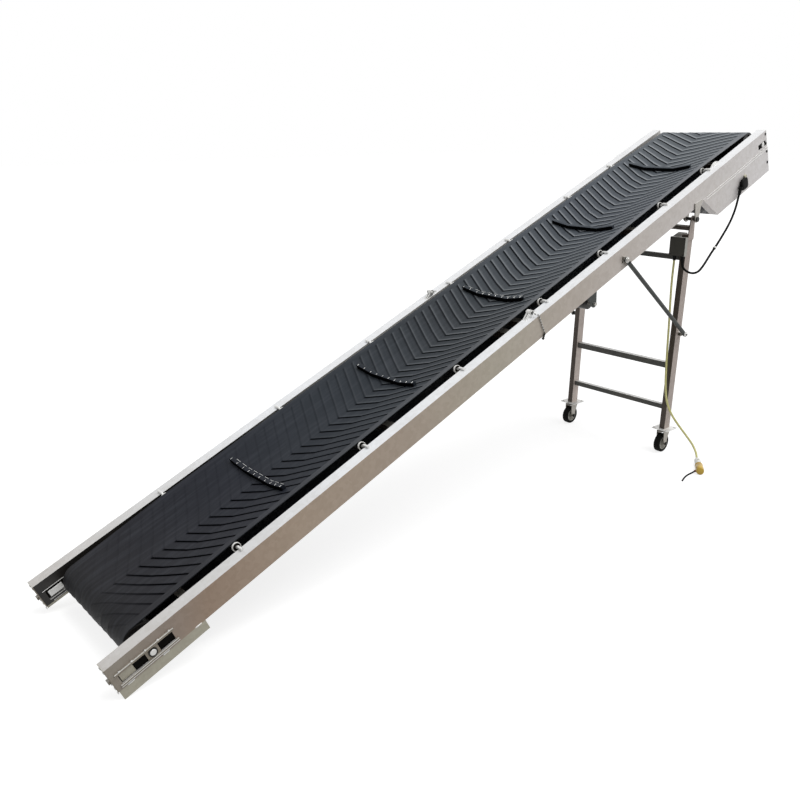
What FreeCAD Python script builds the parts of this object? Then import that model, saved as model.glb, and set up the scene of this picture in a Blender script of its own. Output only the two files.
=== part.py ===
"""Mobile belt conveyor: an inclined folding belt frame on two castered legs.

Row frame: +X from the tail (low end) to the head (high end), +Y to the left, +Z up, floor at Z = 0.
The origin is on the floor below the middle of the object's box. All sizes are in millimetres.

Beam frame, used by everything on the inclined frame: s runs up the slope from the tail end of the beams,
y to the left, n square to the slope, with n = 0 on the top faces of the beams.
"""
import FreeCAD, Part
import math
import os
import re

from FreeCAD import Placement, Rotation, Vector

doc = FreeCAD.newDocument("BeltConveyor")

# ---------------------------------------------------------------------------------------------
# Driving dimensions
# ---------------------------------------------------------------------------------------------
SIZES = {
    # side beams
    "beam_length": 4033.0,
    "fold_place": 2090.0,
    "beam_height": 100.0,
    "beam_width": 50.0,
    "beam_wall": 3.0,
    "clear_width": 578.0,
    "incline": 22.08,
    "end_plate": 3.0,
    "fit_gap": 0.3,
    # tail feet and take-up
    "foot_height": 38.0,
    "foot_length": 325.0,
    "foot_wall": 4.0,
    "window_start": 22.0,
    "window_length": 198.0,
    "window_height": 38.0,
    "window_sink": 1.0,
    "rail_height": 8.0,
    "rail_thick": 5.0,
    "slider_length": 46.0,
    "screw_diameter": 12.0,
    "screw_head": 8.0,
    # drums and belt
    "belt_width": 510.0,
    "belt_thickness": 5.0,
    "drum_radius": 57.0,
    "drum_wall": 5.0,
    "drum_disc": 8.0,
    "drum_recess": 10.0,
    "drum_shaft": 25.0,
    "tail_axis": 142.0,
    "head_setback": 40.0,
    "head_slot_reach": 45.0,
    "motor_radius": 42.0,
    "motor_length": 360.0,
    "trough_drop": 24.0,
    "trough_flat": 85.0,
    "trough_angle": 12.5,
    "cleat_start": 821.0,
    "cleat_pitch": 684.4,
    "cleat_count": 5.0,
    "hidden_cleats": 5.0,
    "cleat_width": 358.0,
    "cleat_height": 18.0,
    "cleat_thickness": 20.0,
    # troughing rollers
    "roller_radius": 16.0,
    "roller_wall": 3.0,
    "roller_web": 6.0,
    "roller_recess": 8.0,
    "roller_gap": 7.0,
    "roller_end": 266.0,
    "idler_shaft": 10.0,
    "idler_seat": 20.0,
    "idler_bend": 15.0,
    "running_gap": 0.05,
    # return rollers
    "return_place": 2480.0,
    "return_depth": 165.0,
    "return_radius": 30.0,
    "return_inner": 195.0,
    "return_outer": 285.0,
    "return_shaft": 16.0,
    "hanger_thick": 6.0,
    "hanger_length": 78.0,
    # cross members
    "cross_size": 30.0,
    "cross_wall": 2.0,
    # fold hinges
    "fold_lug_length": 42.0,
    "fold_lug_thick": 6.0,
    "fold_pin": 12.0,
    "fold_pin_height": 16.0,
    # head guard
    "guard_hang": 126.0,
    "guard_lap": 10.0,
    "guard_start": 3387.0,
    "guard_slant": 118.0,
    "guard_wall": 2.0,
    "guard_flange": 45.0,
    # leg hinge, legs and cross bars
    "hinge_place": 3311.0,
    "hinge_drop": 156.0,
    "hinge_thick": 5.0,
    "hinge_width": 62.0,
    "hinge_bolt": 16.0,
    "leg_width": 30.0,
    "leg_depth": 50.0,
    "leg_wall": 2.5,
    "leg_lean": 34.0,
    "leg_top_gap": 77.0,
    "ear_thick": 5.0,
    "top_tube": 26.0,
    "top_tube_drop": 44.0,
    "top_bar_height": 1034.0,
    "top_bar_size": 24.0,
    "upper_bar_height": 473.0,
    "upper_bar_size": 30.0,
    "lower_bar_height": 246.0,
    "lower_bar_size": 25.0,
    "bar_wall": 2.0,
    # control box
    "box_bottom": 1047.0,
    "box_height": 93.0,
    "box_slope": 17.0,
    "box_inner": 49.0,
    "box_lid": 22.0,
    "box_gland": 10.0,
    # struts
    "strut_place": 2709.0,
    "strut_drop": 60.0,
    "strut_diameter": 20.0,
    "strut_wall": 2.0,
    "strut_plane": 13.0,
    "strut_eye": 8.0,
    "strut_bolt": 12.0,
    "strut_foot_height": 648.0,
    # terminal box on the guard
    "terminal_place": 3720.0,
    "terminal_length": 75.0,
    "terminal_top": 142.0,
    "terminal_height": 62.0,
    "lug_place": 3597.0,
    "lug_length": 72.0,
    "lug_height": 14.0,
    "terminal_depth": 22.0,
    "terminal_gland": 7.0,
    # casters
    "wheel_diameter": 100.0,
    "wheel_width": 32.0,
    "tyre_thickness": 14.0,
    "axle_diameter": 12.0,
    "crown_gap": 14.0,
    "caster_trail": 18.0,
    "caster_plate": 94.0,
    "caster_plate_thick": 4.0,
    "race_height": 9.0,
    "fork_wall": 3.0,
    "fork_gap": 3.0,
    # cords
    "motor_cable_diameter": 11.0,
    "power_cord_diameter": 11.0,
    "tail_wire_diameter": 8.0,
    "plug_diameter": 40.0,
    "plug_length": 170.0,
}

IDLER_PLACES = (548.0, 1135.0, 1665.0, 2204.0, 2645.0, 3138.0, 3530.0)
CROSS_PLACES = (330.0, 1330.0, 2040.0, 2130.0, 3010.0, 3760.0)

sheet = doc.addObject("Spreadsheet::Sheet", "Sizes")
for row, (alias, number) in enumerate(SIZES.items(), start=1):
    sheet.set("A%d" % row, alias)
    sheet.set("B%d" % row, str(number))
    sheet.setAlias("B%d" % row, alias)
doc.recompute()

ALIAS = re.compile(r"\b(" + "|".join(sorted(SIZES, key=len, reverse=True)) + r")\b")


def size(alias):
    """The number that the sheet holds for one alias."""
    return float(sheet.get(alias))


def bind(item, formulas):
    """Bind properties of an object to formulas of the sheet's aliases."""
    for path, formula in formulas.items():
        item.setExpression(path, ALIAS.sub(r"Sizes.\1", str(formula)))


# ---------------------------------------------------------------------------------------------
# Derived places, as formulas of the sheet
# ---------------------------------------------------------------------------------------------
COS = "cos(incline * 1deg)"
SIN = "sin(incline * 1deg)"
BEAM_INNER = "clear_width / 2"
BEAM_OUTER = "(clear_width / 2 + beam_width)"
REST = "(beam_height + foot_height) * %s" % COS
GUARD_DEPTH = "(beam_height + guard_hang)"
REACH = "((beam_length + 3 * end_plate) * %s + %s * %s)" % (COS, GUARD_DEPTH, SIN)
TAIL_X = "(end_plate * %s - %s / 2)" % (COS, REACH)
DRUM_DROP = "(drum_radius + belt_thickness)"
WINDOW_TOP = "(drum_radius + belt_thickness + window_sink - window_height / 2)"
CASTER_HEIGHT = "(wheel_diameter + crown_gap + fork_wall + race_height + caster_plate_thick)"
PIVOT_X = "(%s + hinge_place * %s + hinge_drop * %s)" % (TAIL_X, COS, SIN)
PIVOT_Z = "(%s + hinge_place * %s - hinge_drop * %s)" % (REST, SIN, COS)
LEG_SLOPE = "(leg_lean / (%s - %s))" % (PIVOT_Z, CASTER_HEIGHT)
FOOT_X = "(%s - leg_lean)" % PIVOT_X
LEG_INNER = "(clear_width / 2 + fit_gap)"
LEG_Y = "(clear_width / 2 + fit_gap + leg_width / 2)"


def leg_x(height):
    """Formula for the X of the leg's centre line at a height."""
    return "(%s + (%s - %s) * %s)" % (FOOT_X, height, CASTER_HEIGHT, LEG_SLOPE)


def rad(alias):
    return math.radians(size(alias))


def guard_depth():
    """How far the guard's floor lies below the beams' top faces."""
    return size("beam_height") + size("guard_hang")


def caster_height():
    """Height of the top of the caster plates: the wheel and what is above it."""
    crown = size("crown_gap") + size("fork_wall") + size("race_height") + size("caster_plate_thick")
    return size("wheel_diameter") + crown


def slope_point(s, y, n):
    """A point of the beam frame in the row frame, as numbers."""
    angle = rad("incline")
    reach = (size("beam_length") + 3 * size("end_plate")) * math.cos(angle)
    reach += guard_depth() * math.sin(angle)
    tail_x = size("end_plate") * math.cos(angle) - reach / 2
    rest = (size("beam_height") + size("foot_height")) * math.cos(angle)
    x = tail_x + s * math.cos(angle) - n * math.sin(angle)
    z = rest + s * math.sin(angle) + n * math.cos(angle)
    return Vector(x, y, z)


PIVOT = slope_point(size("hinge_place"), 0.0, -size("hinge_drop"))
LEG_SIDES = (("left", 1), ("right", -1))


def leg_centre(height):
    """X of the leg's centre line at a height, as a number."""
    rise = PIVOT.z - caster_height()
    return PIVOT.x - size("leg_lean") * (PIVOT.z - height) / rise


# ---------------------------------------------------------------------------------------------
# Helpers that make bound primitives
# ---------------------------------------------------------------------------------------------
def move(item, x, y, z):
    bind(item, {"Placement.Base.x": x, "Placement.Base.y": y, "Placement.Base.z": z})
    return item


def box(name, length, width, height, x, y, z):
    """A box with its low corner at x, y, z."""
    item = doc.addObject("Part::Box", name)
    bind(item, {"Length": length, "Width": width, "Height": height})
    return move(item, x, y, z)


def bar(name, radius, length, x, y, z):
    """A round bar along +Y from x, y, z."""
    item = doc.addObject("Part::Cylinder", name)
    item.Placement = Placement(Vector(), Rotation(Vector(1, 0, 0), -90))
    bind(item, {"Radius": radius, "Height": length})
    return move(item, x, y, z)


def cut(name, base, tool):
    item = doc.addObject("Part::Cut", name)
    item.Base = base
    item.Tool = tool
    return item


def fuse(name, items):
    item = doc.addObject("Part::MultiFuse", name)
    item.Shapes = items
    item.Refine = True
    return item


def group(name, items):
    item = doc.addObject("Part::Compound", name)
    item.Links = items
    return item


def incline(item, s="0", y="0", n="0"):
    """Put an object whose own frame is parallel to the beam frame at s, y, n."""
    item.Placement = Placement(Vector(), Rotation(Vector(0, -1, 0), size("incline")))
    bind(item, {"Placement.Rotation.Angle": "incline * 1deg"})
    return move(
        item,
        "%s + (%s) * %s - (%s) * %s" % (TAIL_X, s, COS, n, SIN),
        y,
        "%s + (%s) * %s + (%s) * %s" % (REST, s, SIN, n, COS),
    )


def solid_feature(name, shape, placement=None):
    """A feature that holds a shape built from the sheet's numbers."""
    item = doc.addObject("Part::Feature", name)
    item.Shape = shape
    if placement is not None:
        item.Placement = placement.multiply(shape.Placement)
    return item


def on_slope(name, shape):
    """A feature drawn in the beam frame."""
    turn = Rotation(Vector(0, -1, 0), size("incline"))
    return solid_feature(name, shape, Placement(slope_point(0, 0, 0), turn))


def rounded(points, bend=None):
    """Straight runs through the points, joined by tangent arcs, and the arcs' radii.

    Without a bend radius each arc is as large as its two runs allow.
    """
    edges = []
    radii = []
    start = points[0]
    for before, corner, after in zip(points, points[1:], points[2:]):
        back = before - corner
        ahead = after - corner
        shorter = min(back.Length, ahead.Length)
        back.normalize()
        ahead.normalize()
        turn = math.pi - back.getAngle(ahead)
        reach = bend * math.tan(turn / 2) if bend else 0.45 * shorter
        radius = reach / math.tan(turn / 2)
        radii.append(radius)
        first = corner + back * reach
        last = corner + ahead * reach
        inward = back + ahead
        inward.normalize()
        middle = corner + inward * (radius / math.cos(turn / 2) - radius)
        edges.append(Part.LineSegment(start, first).toShape())
        edges.append(Part.Arc(first, middle, last).toShape())
        start = last
    edges.append(Part.LineSegment(start, points[-1]).toShape())
    return Part.Wire(edges), radii


def tube_along(path, points, diameter):
    """A round tube on the path that runs through the points."""
    disc = Part.Wire(Part.makeCircle(diameter / 2, points[0], points[1] - points[0]))
    return path.makePipeShell([disc], True, False)


NODES = {}


def keep(node, item):
    """Name the sub-part that becomes one file."""
    item.Label = node
    NODES[node] = item
    return item


# ---------------------------------------------------------------------------------------------
# Sketch helpers for the bodies
# ---------------------------------------------------------------------------------------------
def new_body(name):
    return doc.addObject("PartDesign::Body", name)


def sketch_on(body, name, plane):
    sketch = body.newObject("Sketcher::SketchObject", name)
    role = next(f for f in body.Origin.OriginFeatures if f.Role == plane)
    sketch.AttachmentSupport = [(role, "")]
    sketch.MapMode = "FlatFace"
    return sketch


def rectangle(sketch, left, low, width, height):
    """A rectangle whose corner is left, low from the sketch's origin, with bound sizes."""
    import Sketcher

    first = sketch.GeometryCount
    corners = (Vector(1, 1, 0), Vector(3, 1, 0), Vector(3, 3, 0), Vector(1, 3, 0))
    for index in range(4):
        sketch.addGeometry(Part.LineSegment(corners[index], corners[(index + 1) % 4]), False)
    for index in range(4):
        following = first + (index + 1) % 4
        sketch.addConstraint(Sketcher.Constraint("Coincident", first + index, 2, following, 1))
    for index, kind in enumerate(("Horizontal", "Vertical", "Horizontal", "Vertical")):
        sketch.addConstraint(Sketcher.Constraint(kind, first + index))
    rules = (
        ("DistanceX", (-1, 1, first, 1), left, 1.0),
        ("DistanceY", (-1, 1, first, 1), low, 1.0),
        ("DistanceX", (first, 1, first, 2), width, 2.0),
        ("DistanceY", (first + 1, 1, first + 1, 2), height, 2.0),
    )
    for kind, points, formula, start in rules:
        number = sketch.addConstraint(Sketcher.Constraint(kind, *points, start))
        bind(sketch, {"Constraints[%d]" % number: formula})


def pad(body, name, sketch, length):
    feature = body.newObject("PartDesign::Pad", name)
    feature.Profile = sketch
    bind(feature, {"Length": length})
    return feature


def pocket(body, name, sketch, length):
    feature = body.newObject("PartDesign::Pocket", name)
    feature.Profile = sketch
    bind(feature, {"Length": length})
    return feature


# ---------------------------------------------------------------------------------------------
# Side beams: rectangular tube, two lengths a side that meet at the fold
# ---------------------------------------------------------------------------------------------
def beam(node, side, start, length, opening):
    """One tube; opening is (start, length, low, height) of its side window."""
    body = new_body("Body_" + node)
    outline = sketch_on(body, "Section_" + node, "YZ_Plane")
    rectangle(outline, "0.001", "0.001", "beam_width", "beam_height")
    inner_width = "beam_width - 2 * beam_wall"
    inner_height = "beam_height - 2 * beam_wall"
    rectangle(outline, "beam_wall", "beam_wall", inner_width, inner_height)
    pad(body, "Tube_" + node, outline, length)
    window = sketch_on(body, "Opening_" + node, "XZ_Plane")
    rectangle(window, *opening)
    pocket(body, "Window_" + node, window, "beam_width + 2")
    low = BEAM_INNER if side > 0 else "-" + BEAM_OUTER
    incline(body, start, low + " - 0.001", "-beam_height - 0.001")
    return keep(node, body)


TAIL_WINDOW = (
    "window_start",
    "beam_height - %s - window_height" % WINDOW_TOP,
    "window_length",
    "window_height",
)
HEAD_WINDOW = (
    "beam_length - head_setback - fold_place - head_slot_reach",
    "beam_height - %s - drum_shaft / 2 - fit_gap" % DRUM_DROP,
    "head_setback + head_slot_reach - 10",
    "drum_shaft + 2 * fit_gap",
)
for name, side in LEG_SIDES:
    beam("beam_tail_" + name, side, "0", "fold_place", TAIL_WINDOW)
    beam("beam_head_" + name, side, "fold_place", "beam_length - fold_place", HEAD_WINDOW)


# ---------------------------------------------------------------------------------------------
# Tail feet: angle strips welded under the tail ends of the beams
# ---------------------------------------------------------------------------------------------
def tail_foot(name, side):
    outer = "%s - foot_wall" % BEAM_OUTER if side > 0 else "-" + BEAM_OUTER
    inner = BEAM_INNER if side > 0 else "-" + BEAM_OUTER
    web = box("FootWeb_" + name, "foot_length", "foot_wall", "foot_height", "0", outer, "0")
    flange = box("FootFlange_" + name, "foot_length", "beam_width", "foot_wall", "0", inner,
                 "foot_height - foot_wall")
    foot = fuse("Foot_" + name, [web, flange])
    incline(foot, "0", "0", "-beam_height - foot_height")
    return keep("tail_foot_" + name, foot)


for name, side in LEG_SIDES:
    tail_foot(name, side)


# ---------------------------------------------------------------------------------------------
# Belt take-up at the tail: window rails, slide block on the drum shaft, screw, end plate
# ---------------------------------------------------------------------------------------------
def take_up(name, side):
    face = BEAM_OUTER if side > 0 else "-%s - rail_thick" % BEAM_OUTER
    rails = []
    for index, low in enumerate(("-" + WINDOW_TOP, "-%s - window_height - rail_height" % WINDOW_TOP)):
        rails.append(box("Rail%d_%s" % (index, name), "window_length + 16", "rail_thick", "rail_height",
                         "window_start - 8", face, low))
    y = "%s + fit_gap" % BEAM_INNER if side > 0 else "-%s - beam_width + fit_gap" % BEAM_INNER
    block = box("Slider_" + name, "slider_length", "beam_width - 2 * fit_gap", "window_height - 2 * fit_gap",
                "tail_axis - slider_length / 2", y, "-%s - window_height + fit_gap" % WINDOW_TOP)
    hole = bar("SliderBore_" + name, "drum_shaft / 2 + running_gap", "beam_width + 4", "tail_axis",
               "%s - 2" % BEAM_INNER if side > 0 else "-%s - 2" % BEAM_OUTER, "-" + DRUM_DROP)
    slider = cut("SliderBlock_" + name, block, hole)
    centre = "clear_width / 2 + beam_width / 2" if side > 0 else "-clear_width / 2 - beam_width / 2"
    rod = doc.addObject("Part::Cylinder", "Screw_" + name)
    rod.Placement = Placement(Vector(), Rotation(Vector(0, 1, 0), 90))
    bind(rod, {"Radius": "screw_diameter / 2", "Height": "tail_axis - slider_length / 2 + end_plate"})
    move(rod, "-end_plate", centre, "-" + DRUM_DROP)
    head = doc.addObject("Part::Prism", "ScrewHead_" + name)
    head.Polygon = 6
    head.Placement = Placement(Vector(), Rotation(Vector(0, 1, 0), 90))
    bind(head, {"Circumradius": "screw_diameter * 0.9", "Height": "screw_head"})
    move(head, "-end_plate - screw_head", centre, "-" + DRUM_DROP)
    screw = fuse("TakeUpScrew_" + name, [rod, head])
    plate_y = BEAM_INNER if side > 0 else "-" + BEAM_OUTER
    plate = box("TailPlate_" + name, "end_plate", "beam_width", "beam_height", "-end_plate", plate_y,
                "-beam_height")
    bore = doc.addObject("Part::Cylinder", "TailPlateBore_" + name)
    bore.Placement = Placement(Vector(), Rotation(Vector(0, 1, 0), 90))
    bind(bore, {"Radius": "screw_diameter / 2 + running_gap", "Height": "end_plate + 4"})
    move(bore, "-end_plate - 2", centre, "-" + DRUM_DROP)
    drilled = cut("TailEnd_" + name, plate, bore)
    keep("take_up_" + name, incline(group("TakeUp_" + name, rails + [slider, screw])))
    return keep("tail_end_plate_" + name, incline(drilled))


for name, side in LEG_SIDES:
    take_up(name, side)


# ---------------------------------------------------------------------------------------------
# Head end plates, closing the tubes
# ---------------------------------------------------------------------------------------------
plates = []
for name, side in LEG_SIDES:
    low = BEAM_INNER if side > 0 else "-" + BEAM_OUTER
    plates.append(box("HeadPlate_" + name, "end_plate", "beam_width", "beam_height", "beam_length", low,
                      "-beam_height"))
keep("head_end_plates", incline(group("HeadEndPlates", plates)))


# ---------------------------------------------------------------------------------------------
# Cross members between the beams
# ---------------------------------------------------------------------------------------------
members = []
for index, place in enumerate(CROSS_PLACES):
    low = "-beam_height"
    start = "%s - cross_size / 2" % place
    outer = box("Cross%d" % index, "cross_size", "clear_width", "cross_size", start, "-clear_width / 2", low)
    core = box("CrossCore%d" % index, "cross_size - 2 * cross_wall", "clear_width + 2",
               "cross_size - 2 * cross_wall", start + " + cross_wall", "-clear_width / 2 - 1",
               low + " + cross_wall")
    members.append(cut("CrossTube%d" % index, outer, core))
keep("cross_members", incline(group("CrossMembers", members)))


# ---------------------------------------------------------------------------------------------
# Drums: a tube on two recessed discs with lightening holes, on a through shaft
# ---------------------------------------------------------------------------------------------
def drum(node, place, extra):
    """A drum in its own frame, axis along Y through the origin; extra is a list of inner solids."""
    radius = size("drum_radius") - size("fit_gap")
    width = size("belt_width")
    wall = size("drum_wall")
    disc = size("drum_disc")
    recess = size("drum_recess")
    shaft = size("drum_shaft") / 2
    half = width / 2
    reach = size("clear_width") / 2 + size("beam_width")
    along = Vector(0, 1, 0)
    shell = Part.makeCylinder(radius, width, Vector(0, -half, 0), along)
    shell = shell.cut(Part.makeCylinder(radius - wall, width, Vector(0, -half, 0), along))
    parts = [Part.makeCylinder(shaft, 2 * reach, Vector(0, -reach, 0), along)]
    for low in (-half + recess, half - recess - disc):
        plate = Part.makeCylinder(radius - wall, disc, Vector(0, low, 0), along)
        for turn in range(4):
            angle = math.radians(45 + 90 * turn)
            middle = (radius - wall + shaft) / 2
            spot = Vector(middle * math.cos(angle), low, middle * math.sin(angle))
            plate = plate.cut(Part.makeCylinder(shaft / 2, disc, spot, along))
        parts.append(plate)
    parts.extend(extra)
    shape = shell.multiFuse(parts).removeSplitter()
    shape.translate(Vector(place, 0, -size("drum_radius") - size("belt_thickness")))
    return keep(node, on_slope(node, shape))


drum("tail_drum", size("tail_axis"), [])
motor_length = size("motor_length")
drum_motor = Part.makeCylinder(size("motor_radius"), motor_length, Vector(0, -motor_length / 2, 0),
                               Vector(0, 1, 0))
drum("head_drum", size("beam_length") - size("head_setback"), [drum_motor])


# ---------------------------------------------------------------------------------------------
# Belt: troughed carrying run, flat return run over the return rollers, cleats across its middle
# ---------------------------------------------------------------------------------------------
def across_line(s, share, offset, half):
    """Four points across the belt at s: share is 0 for a flat belt and 1 for the full trough.

    offset is measured from the belt's upper face.
    """
    flat = size("trough_flat")
    drop = share * size("trough_drop")
    edge = -drop + share * (half - flat) * math.tan(rad("trough_angle"))
    line = ((-half, edge), (-flat, -drop), (flat, -drop), (half, edge))
    return [Vector(s, y, n + offset) for y, n in line]


def section(s, share, low, high, half):
    """Closed cross-section at s between two offsets from the belt's upper face."""
    points = across_line(s, share, high, half) + across_line(s, share, low, half)[::-1]
    return Part.makePolygon(points + points[:1])


def stretch(start, first, end, second, thickness, half):
    """The belt between two stations, with flat faces only: each wing is two triangles."""
    outlines = []
    for offset in (0, -thickness):
        a = across_line(start, first, offset, half)
        b = across_line(end, second, offset, half)
        outlines += [(a[0], a[1], b[0]), (a[1], b[1], b[0]), (a[1], a[2], b[2], b[1])]
        outlines += [(a[2], a[3], b[3]), (a[2], b[3], b[2])]
    for index in (0, 3):
        a = [across_line(start, first, offset, half)[index] for offset in (0, -thickness)]
        b = [across_line(end, second, offset, half)[index] for offset in (0, -thickness)]
        outlines.append((a[0], b[0], b[1], a[1]))
    faces = [Part.Face(Part.makePolygon(list(points) + [points[0]])) for points in outlines]
    for s, share in ((start, first), (end, second)):
        faces.append(Part.Face(section(s, share, -thickness, 0, half)))
    solid = Part.Solid(Part.makeShell(faces))
    return solid if solid.Volume > 0 else solid.reversed()


def prism(points, width):
    """A profile in the s-n plane, extruded over the width about y = 0."""
    corners = [Vector(s, -width / 2, n) for s, n in points]
    corners.append(corners[0])
    return Part.Face(Part.makePolygon(corners)).extrude(Vector(0, width, 0))


def half_ring(place, outward):
    """The belt's half turn round a drum; outward is -1 at the tail and 1 at the head."""
    radius = size("drum_radius")
    outer = radius + size("belt_thickness")
    width = size("belt_width")
    centre = Vector(place, -width / 2, -outer)
    ring = Part.makeCylinder(outer, width, centre, Vector(0, 1, 0))
    ring = ring.cut(Part.makeCylinder(radius, width, centre, Vector(0, 1, 0)))
    corner = Vector(place if outward > 0 else place - outer, -width / 2, -2 * outer)
    return ring.common(Part.makeBox(outer, width, 2 * outer, corner))


def conveyor_belt():
    thickness = size("belt_thickness")
    width = size("belt_width")
    tail = size("tail_axis")
    head = size("beam_length") - size("head_setback")
    radius = size("drum_radius")
    bottom = -2 * radius - thickness
    steps = 4
    rise = [index / steps for index in range(steps + 1)]
    stations = [(tail + (IDLER_PLACES[0] - tail) * share, share) for share in rise]
    stations += [(head - (head - IDLER_PLACES[-1]) * share, share) for share in reversed(rise)]
    solids = [stretch(*low, *high, thickness, width / 2) for low, high in zip(stations, stations[1:])]
    solids.append(half_ring(tail, -1))
    solids.append(half_ring(head, 1))
    sag = -size("return_depth") + size("return_radius") + thickness
    run = [(tail, bottom), (size("return_place"), sag), (head, bottom)]
    lower = [(s, n - thickness) for s, n in reversed(run)]
    solids.append(prism(run + lower, width))
    solids.extend(cleats(tail, head, bottom, sag))
    return solids[0].multiFuse(solids[1:]).removeSplitter()


def cleats(tail, head, bottom, sag):
    """Cleats on the carrying run at the given pitch, the rest spread over the hidden length."""
    turn = math.pi * (size("drum_radius") + size("belt_thickness"))
    loop = 2 * (head - tail + turn)
    shown = [size("cleat_start") + index * size("cleat_pitch") for index in range(int(size("cleat_count")))]
    shown = [place - tail for place in shown if tail < place < head]
    step = (loop - shown[-1] + shown[0]) / (size("hidden_cleats") + 1)
    hidden = [(shown[-1] + index * step) % loop for index in range(1, int(size("hidden_cleats")) + 1)]
    return [cleat(travel, tail, head, bottom, sag) for travel in shown + hidden]


def cleat(travel, tail, head, bottom, sag):
    """One cleat at a travel along the loop, counted from the top of the tail drum."""
    height = size("cleat_height")
    thick = size("cleat_thickness")
    half = size("cleat_width") / 2
    thickness = size("belt_thickness")
    outer = size("drum_radius") + thickness
    run = head - tail
    turn = math.pi * outer
    if travel < run:
        place = tail + travel
        share = min(1.0, travel / (IDLER_PLACES[0] - tail), (head - place) / (head - IDLER_PLACES[-1]))
        outline = section(place - thick / 2, share, -thickness / 2, height, half)
        return Part.Face(outline).extrude(Vector(thick, 0, 0))
    if run + turn < travel < 2 * run + turn:
        place = head - (travel - run - turn)
        anchor = size("return_place")
        end = head if place > anchor else tail
        level = sag + (bottom - sag) * (place - anchor) / (end - anchor) - thickness
        corner = Vector(place - thick / 2, -half, level - height)
        return Part.makeBox(thick, 2 * half, height + thickness / 2, corner)
    if travel < run + turn:
        centre = head
        angle = 180 + math.degrees((travel - run) / outer)
    else:
        centre = tail
        angle = math.degrees((travel - 2 * run - turn) / outer)
    block = Part.makeBox(thick, 2 * half, height + thickness / 2, Vector(-thick / 2, -half, -outer - height))
    block.rotate(Vector(), Vector(0, 1, 0), angle)
    block.translate(Vector(centre, 0, -outer))
    return block


keep("conveyor_belt", on_slope("conveyor_belt", conveyor_belt()))


# ---------------------------------------------------------------------------------------------
# Troughing rollers: a level middle roller and two inclined side rollers on one bent shaft
# ---------------------------------------------------------------------------------------------
def tube_roller(length):
    """A roller along Y, centred on the origin, open at its ends with a web near each end."""
    radius = size("roller_radius")
    along = Vector(0, 1, 0)
    start = Vector(0, -length / 2, 0)
    shell = Part.makeCylinder(radius, length, start, along)
    shell = shell.cut(Part.makeCylinder(radius - size("roller_wall"), length, start, along))
    web = size("roller_web")
    bore = size("idler_shaft") / 2 + size("running_gap")
    for low in (-length / 2 + size("roller_recess"), length / 2 - size("roller_recess") - web):
        disc = Part.makeCylinder(radius - size("roller_wall"), web, Vector(0, low, 0), along)
        disc = disc.cut(Part.makeCylinder(bore, web, Vector(0, low, 0), along))
        shell = shell.fuse(disc)
    return shell.removeSplitter()


def idler_level():
    """n of the middle roller's axis: the belt's underside rests on the roller."""
    return -size("trough_drop") - size("belt_thickness") - size("roller_radius") - size("running_gap")


def idler_bend():
    """y where the shaft bends, so that the side rollers lie along the belt's underside."""
    return size("trough_flat") + size("roller_radius") * math.tan(rad("trough_angle") / 2)


def idler_line():
    """Corner points (y, n) of the bent shaft: its ends lie level on the beams' top faces."""
    angle = rad("trough_angle")
    bend = idler_bend()
    low = idler_level()
    knee = size("roller_end") + size("idler_shaft") / 2
    high = low + (knee - bend) * math.tan(angle)
    inner = size("clear_width") / 2
    seat = size("idler_shaft") / 2 + size("running_gap")
    step = inner - 0.7 * size("idler_shaft")
    right = [(bend, low), (knee, high), (step, seat), (inner + size("idler_seat"), seat)]
    return [(-y, n) for y, n in reversed(right)] + right


def bent_shaft():
    route = [Vector(0, y, n) for y, n in idler_line()]
    return tube_along(rounded(route, size("idler_bend"))[0], route, size("idler_shaft"))


def idler_rollers():
    angle = rad("trough_angle")
    gap = size("roller_gap")
    bend = idler_bend()
    low = idler_level()
    middle = tube_roller(2 * (bend - gap))
    middle.translate(Vector(0, 0, low))
    first = bend + gap
    length = (size("roller_end") - first) / math.cos(angle)
    centre = (first + size("roller_end")) / 2
    height = low + (centre - bend) * math.tan(angle)
    solids = [middle]
    for sign in (1, -1):
        outer = tube_roller(length)
        outer.rotate(Vector(), Vector(1, 0, 0), sign * math.degrees(angle))
        outer.translate(Vector(0, sign * centre, height))
        solids.append(outer)
    return solids


rollers = []
shafts = []
for place in IDLER_PLACES:
    for roller in idler_rollers():
        roller.translate(Vector(place, 0, 0))
        rollers.append(roller)
    rod = bent_shaft()
    rod.translate(Vector(place, 0, 0))
    shafts.append(rod)
keep("trough_rollers", on_slope("trough_rollers", Part.makeCompound(rollers)))
keep("trough_shafts", on_slope("trough_shafts", Part.makeCompound(shafts)))


# ---------------------------------------------------------------------------------------------
# Return rollers on hangers below the beams
# ---------------------------------------------------------------------------------------------
return_parts = []
for name, side in LEG_SIDES:
    low = "return_inner" if side > 0 else "-return_outer"
    outer = bar("Return_" + name, "return_radius", "return_outer - return_inner", "return_place", low,
                "-return_depth")
    core = bar("ReturnBore_" + name, "return_shaft / 2 + running_gap", "return_outer - return_inner + 2",
               "return_place", low + " - 1", "-return_depth")
    return_parts.append(cut("ReturnRoller_" + name, outer, core))
keep("return_rollers", incline(group("ReturnRollers", return_parts)))


def hanger(side):
    """A tapered plate in the s-n plane, welded to the underside of the beam."""
    top = -size("beam_height")
    low = -size("return_depth")
    place = size("return_place")
    half = size("hanger_length") / 2
    tip = size("return_shaft") * 1.1
    middle = size("clear_width") / 2 + size("beam_width") / 2
    thick = size("hanger_thick")
    points = [(place - half, top), (place + half, top), (place + tip, low), (place - tip, low)]
    plate = prism(points, thick)
    plate = plate.fuse(Part.makeCylinder(tip, thick, Vector(place, -thick / 2, low), Vector(0, 1, 0)))
    bore = size("return_shaft") / 2 + size("running_gap")
    plate = plate.cut(Part.makeCylinder(bore, thick, Vector(place, -thick / 2, low), Vector(0, 1, 0)))
    plate.translate(Vector(0, side * middle, 0))
    return plate.removeSplitter()


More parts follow.
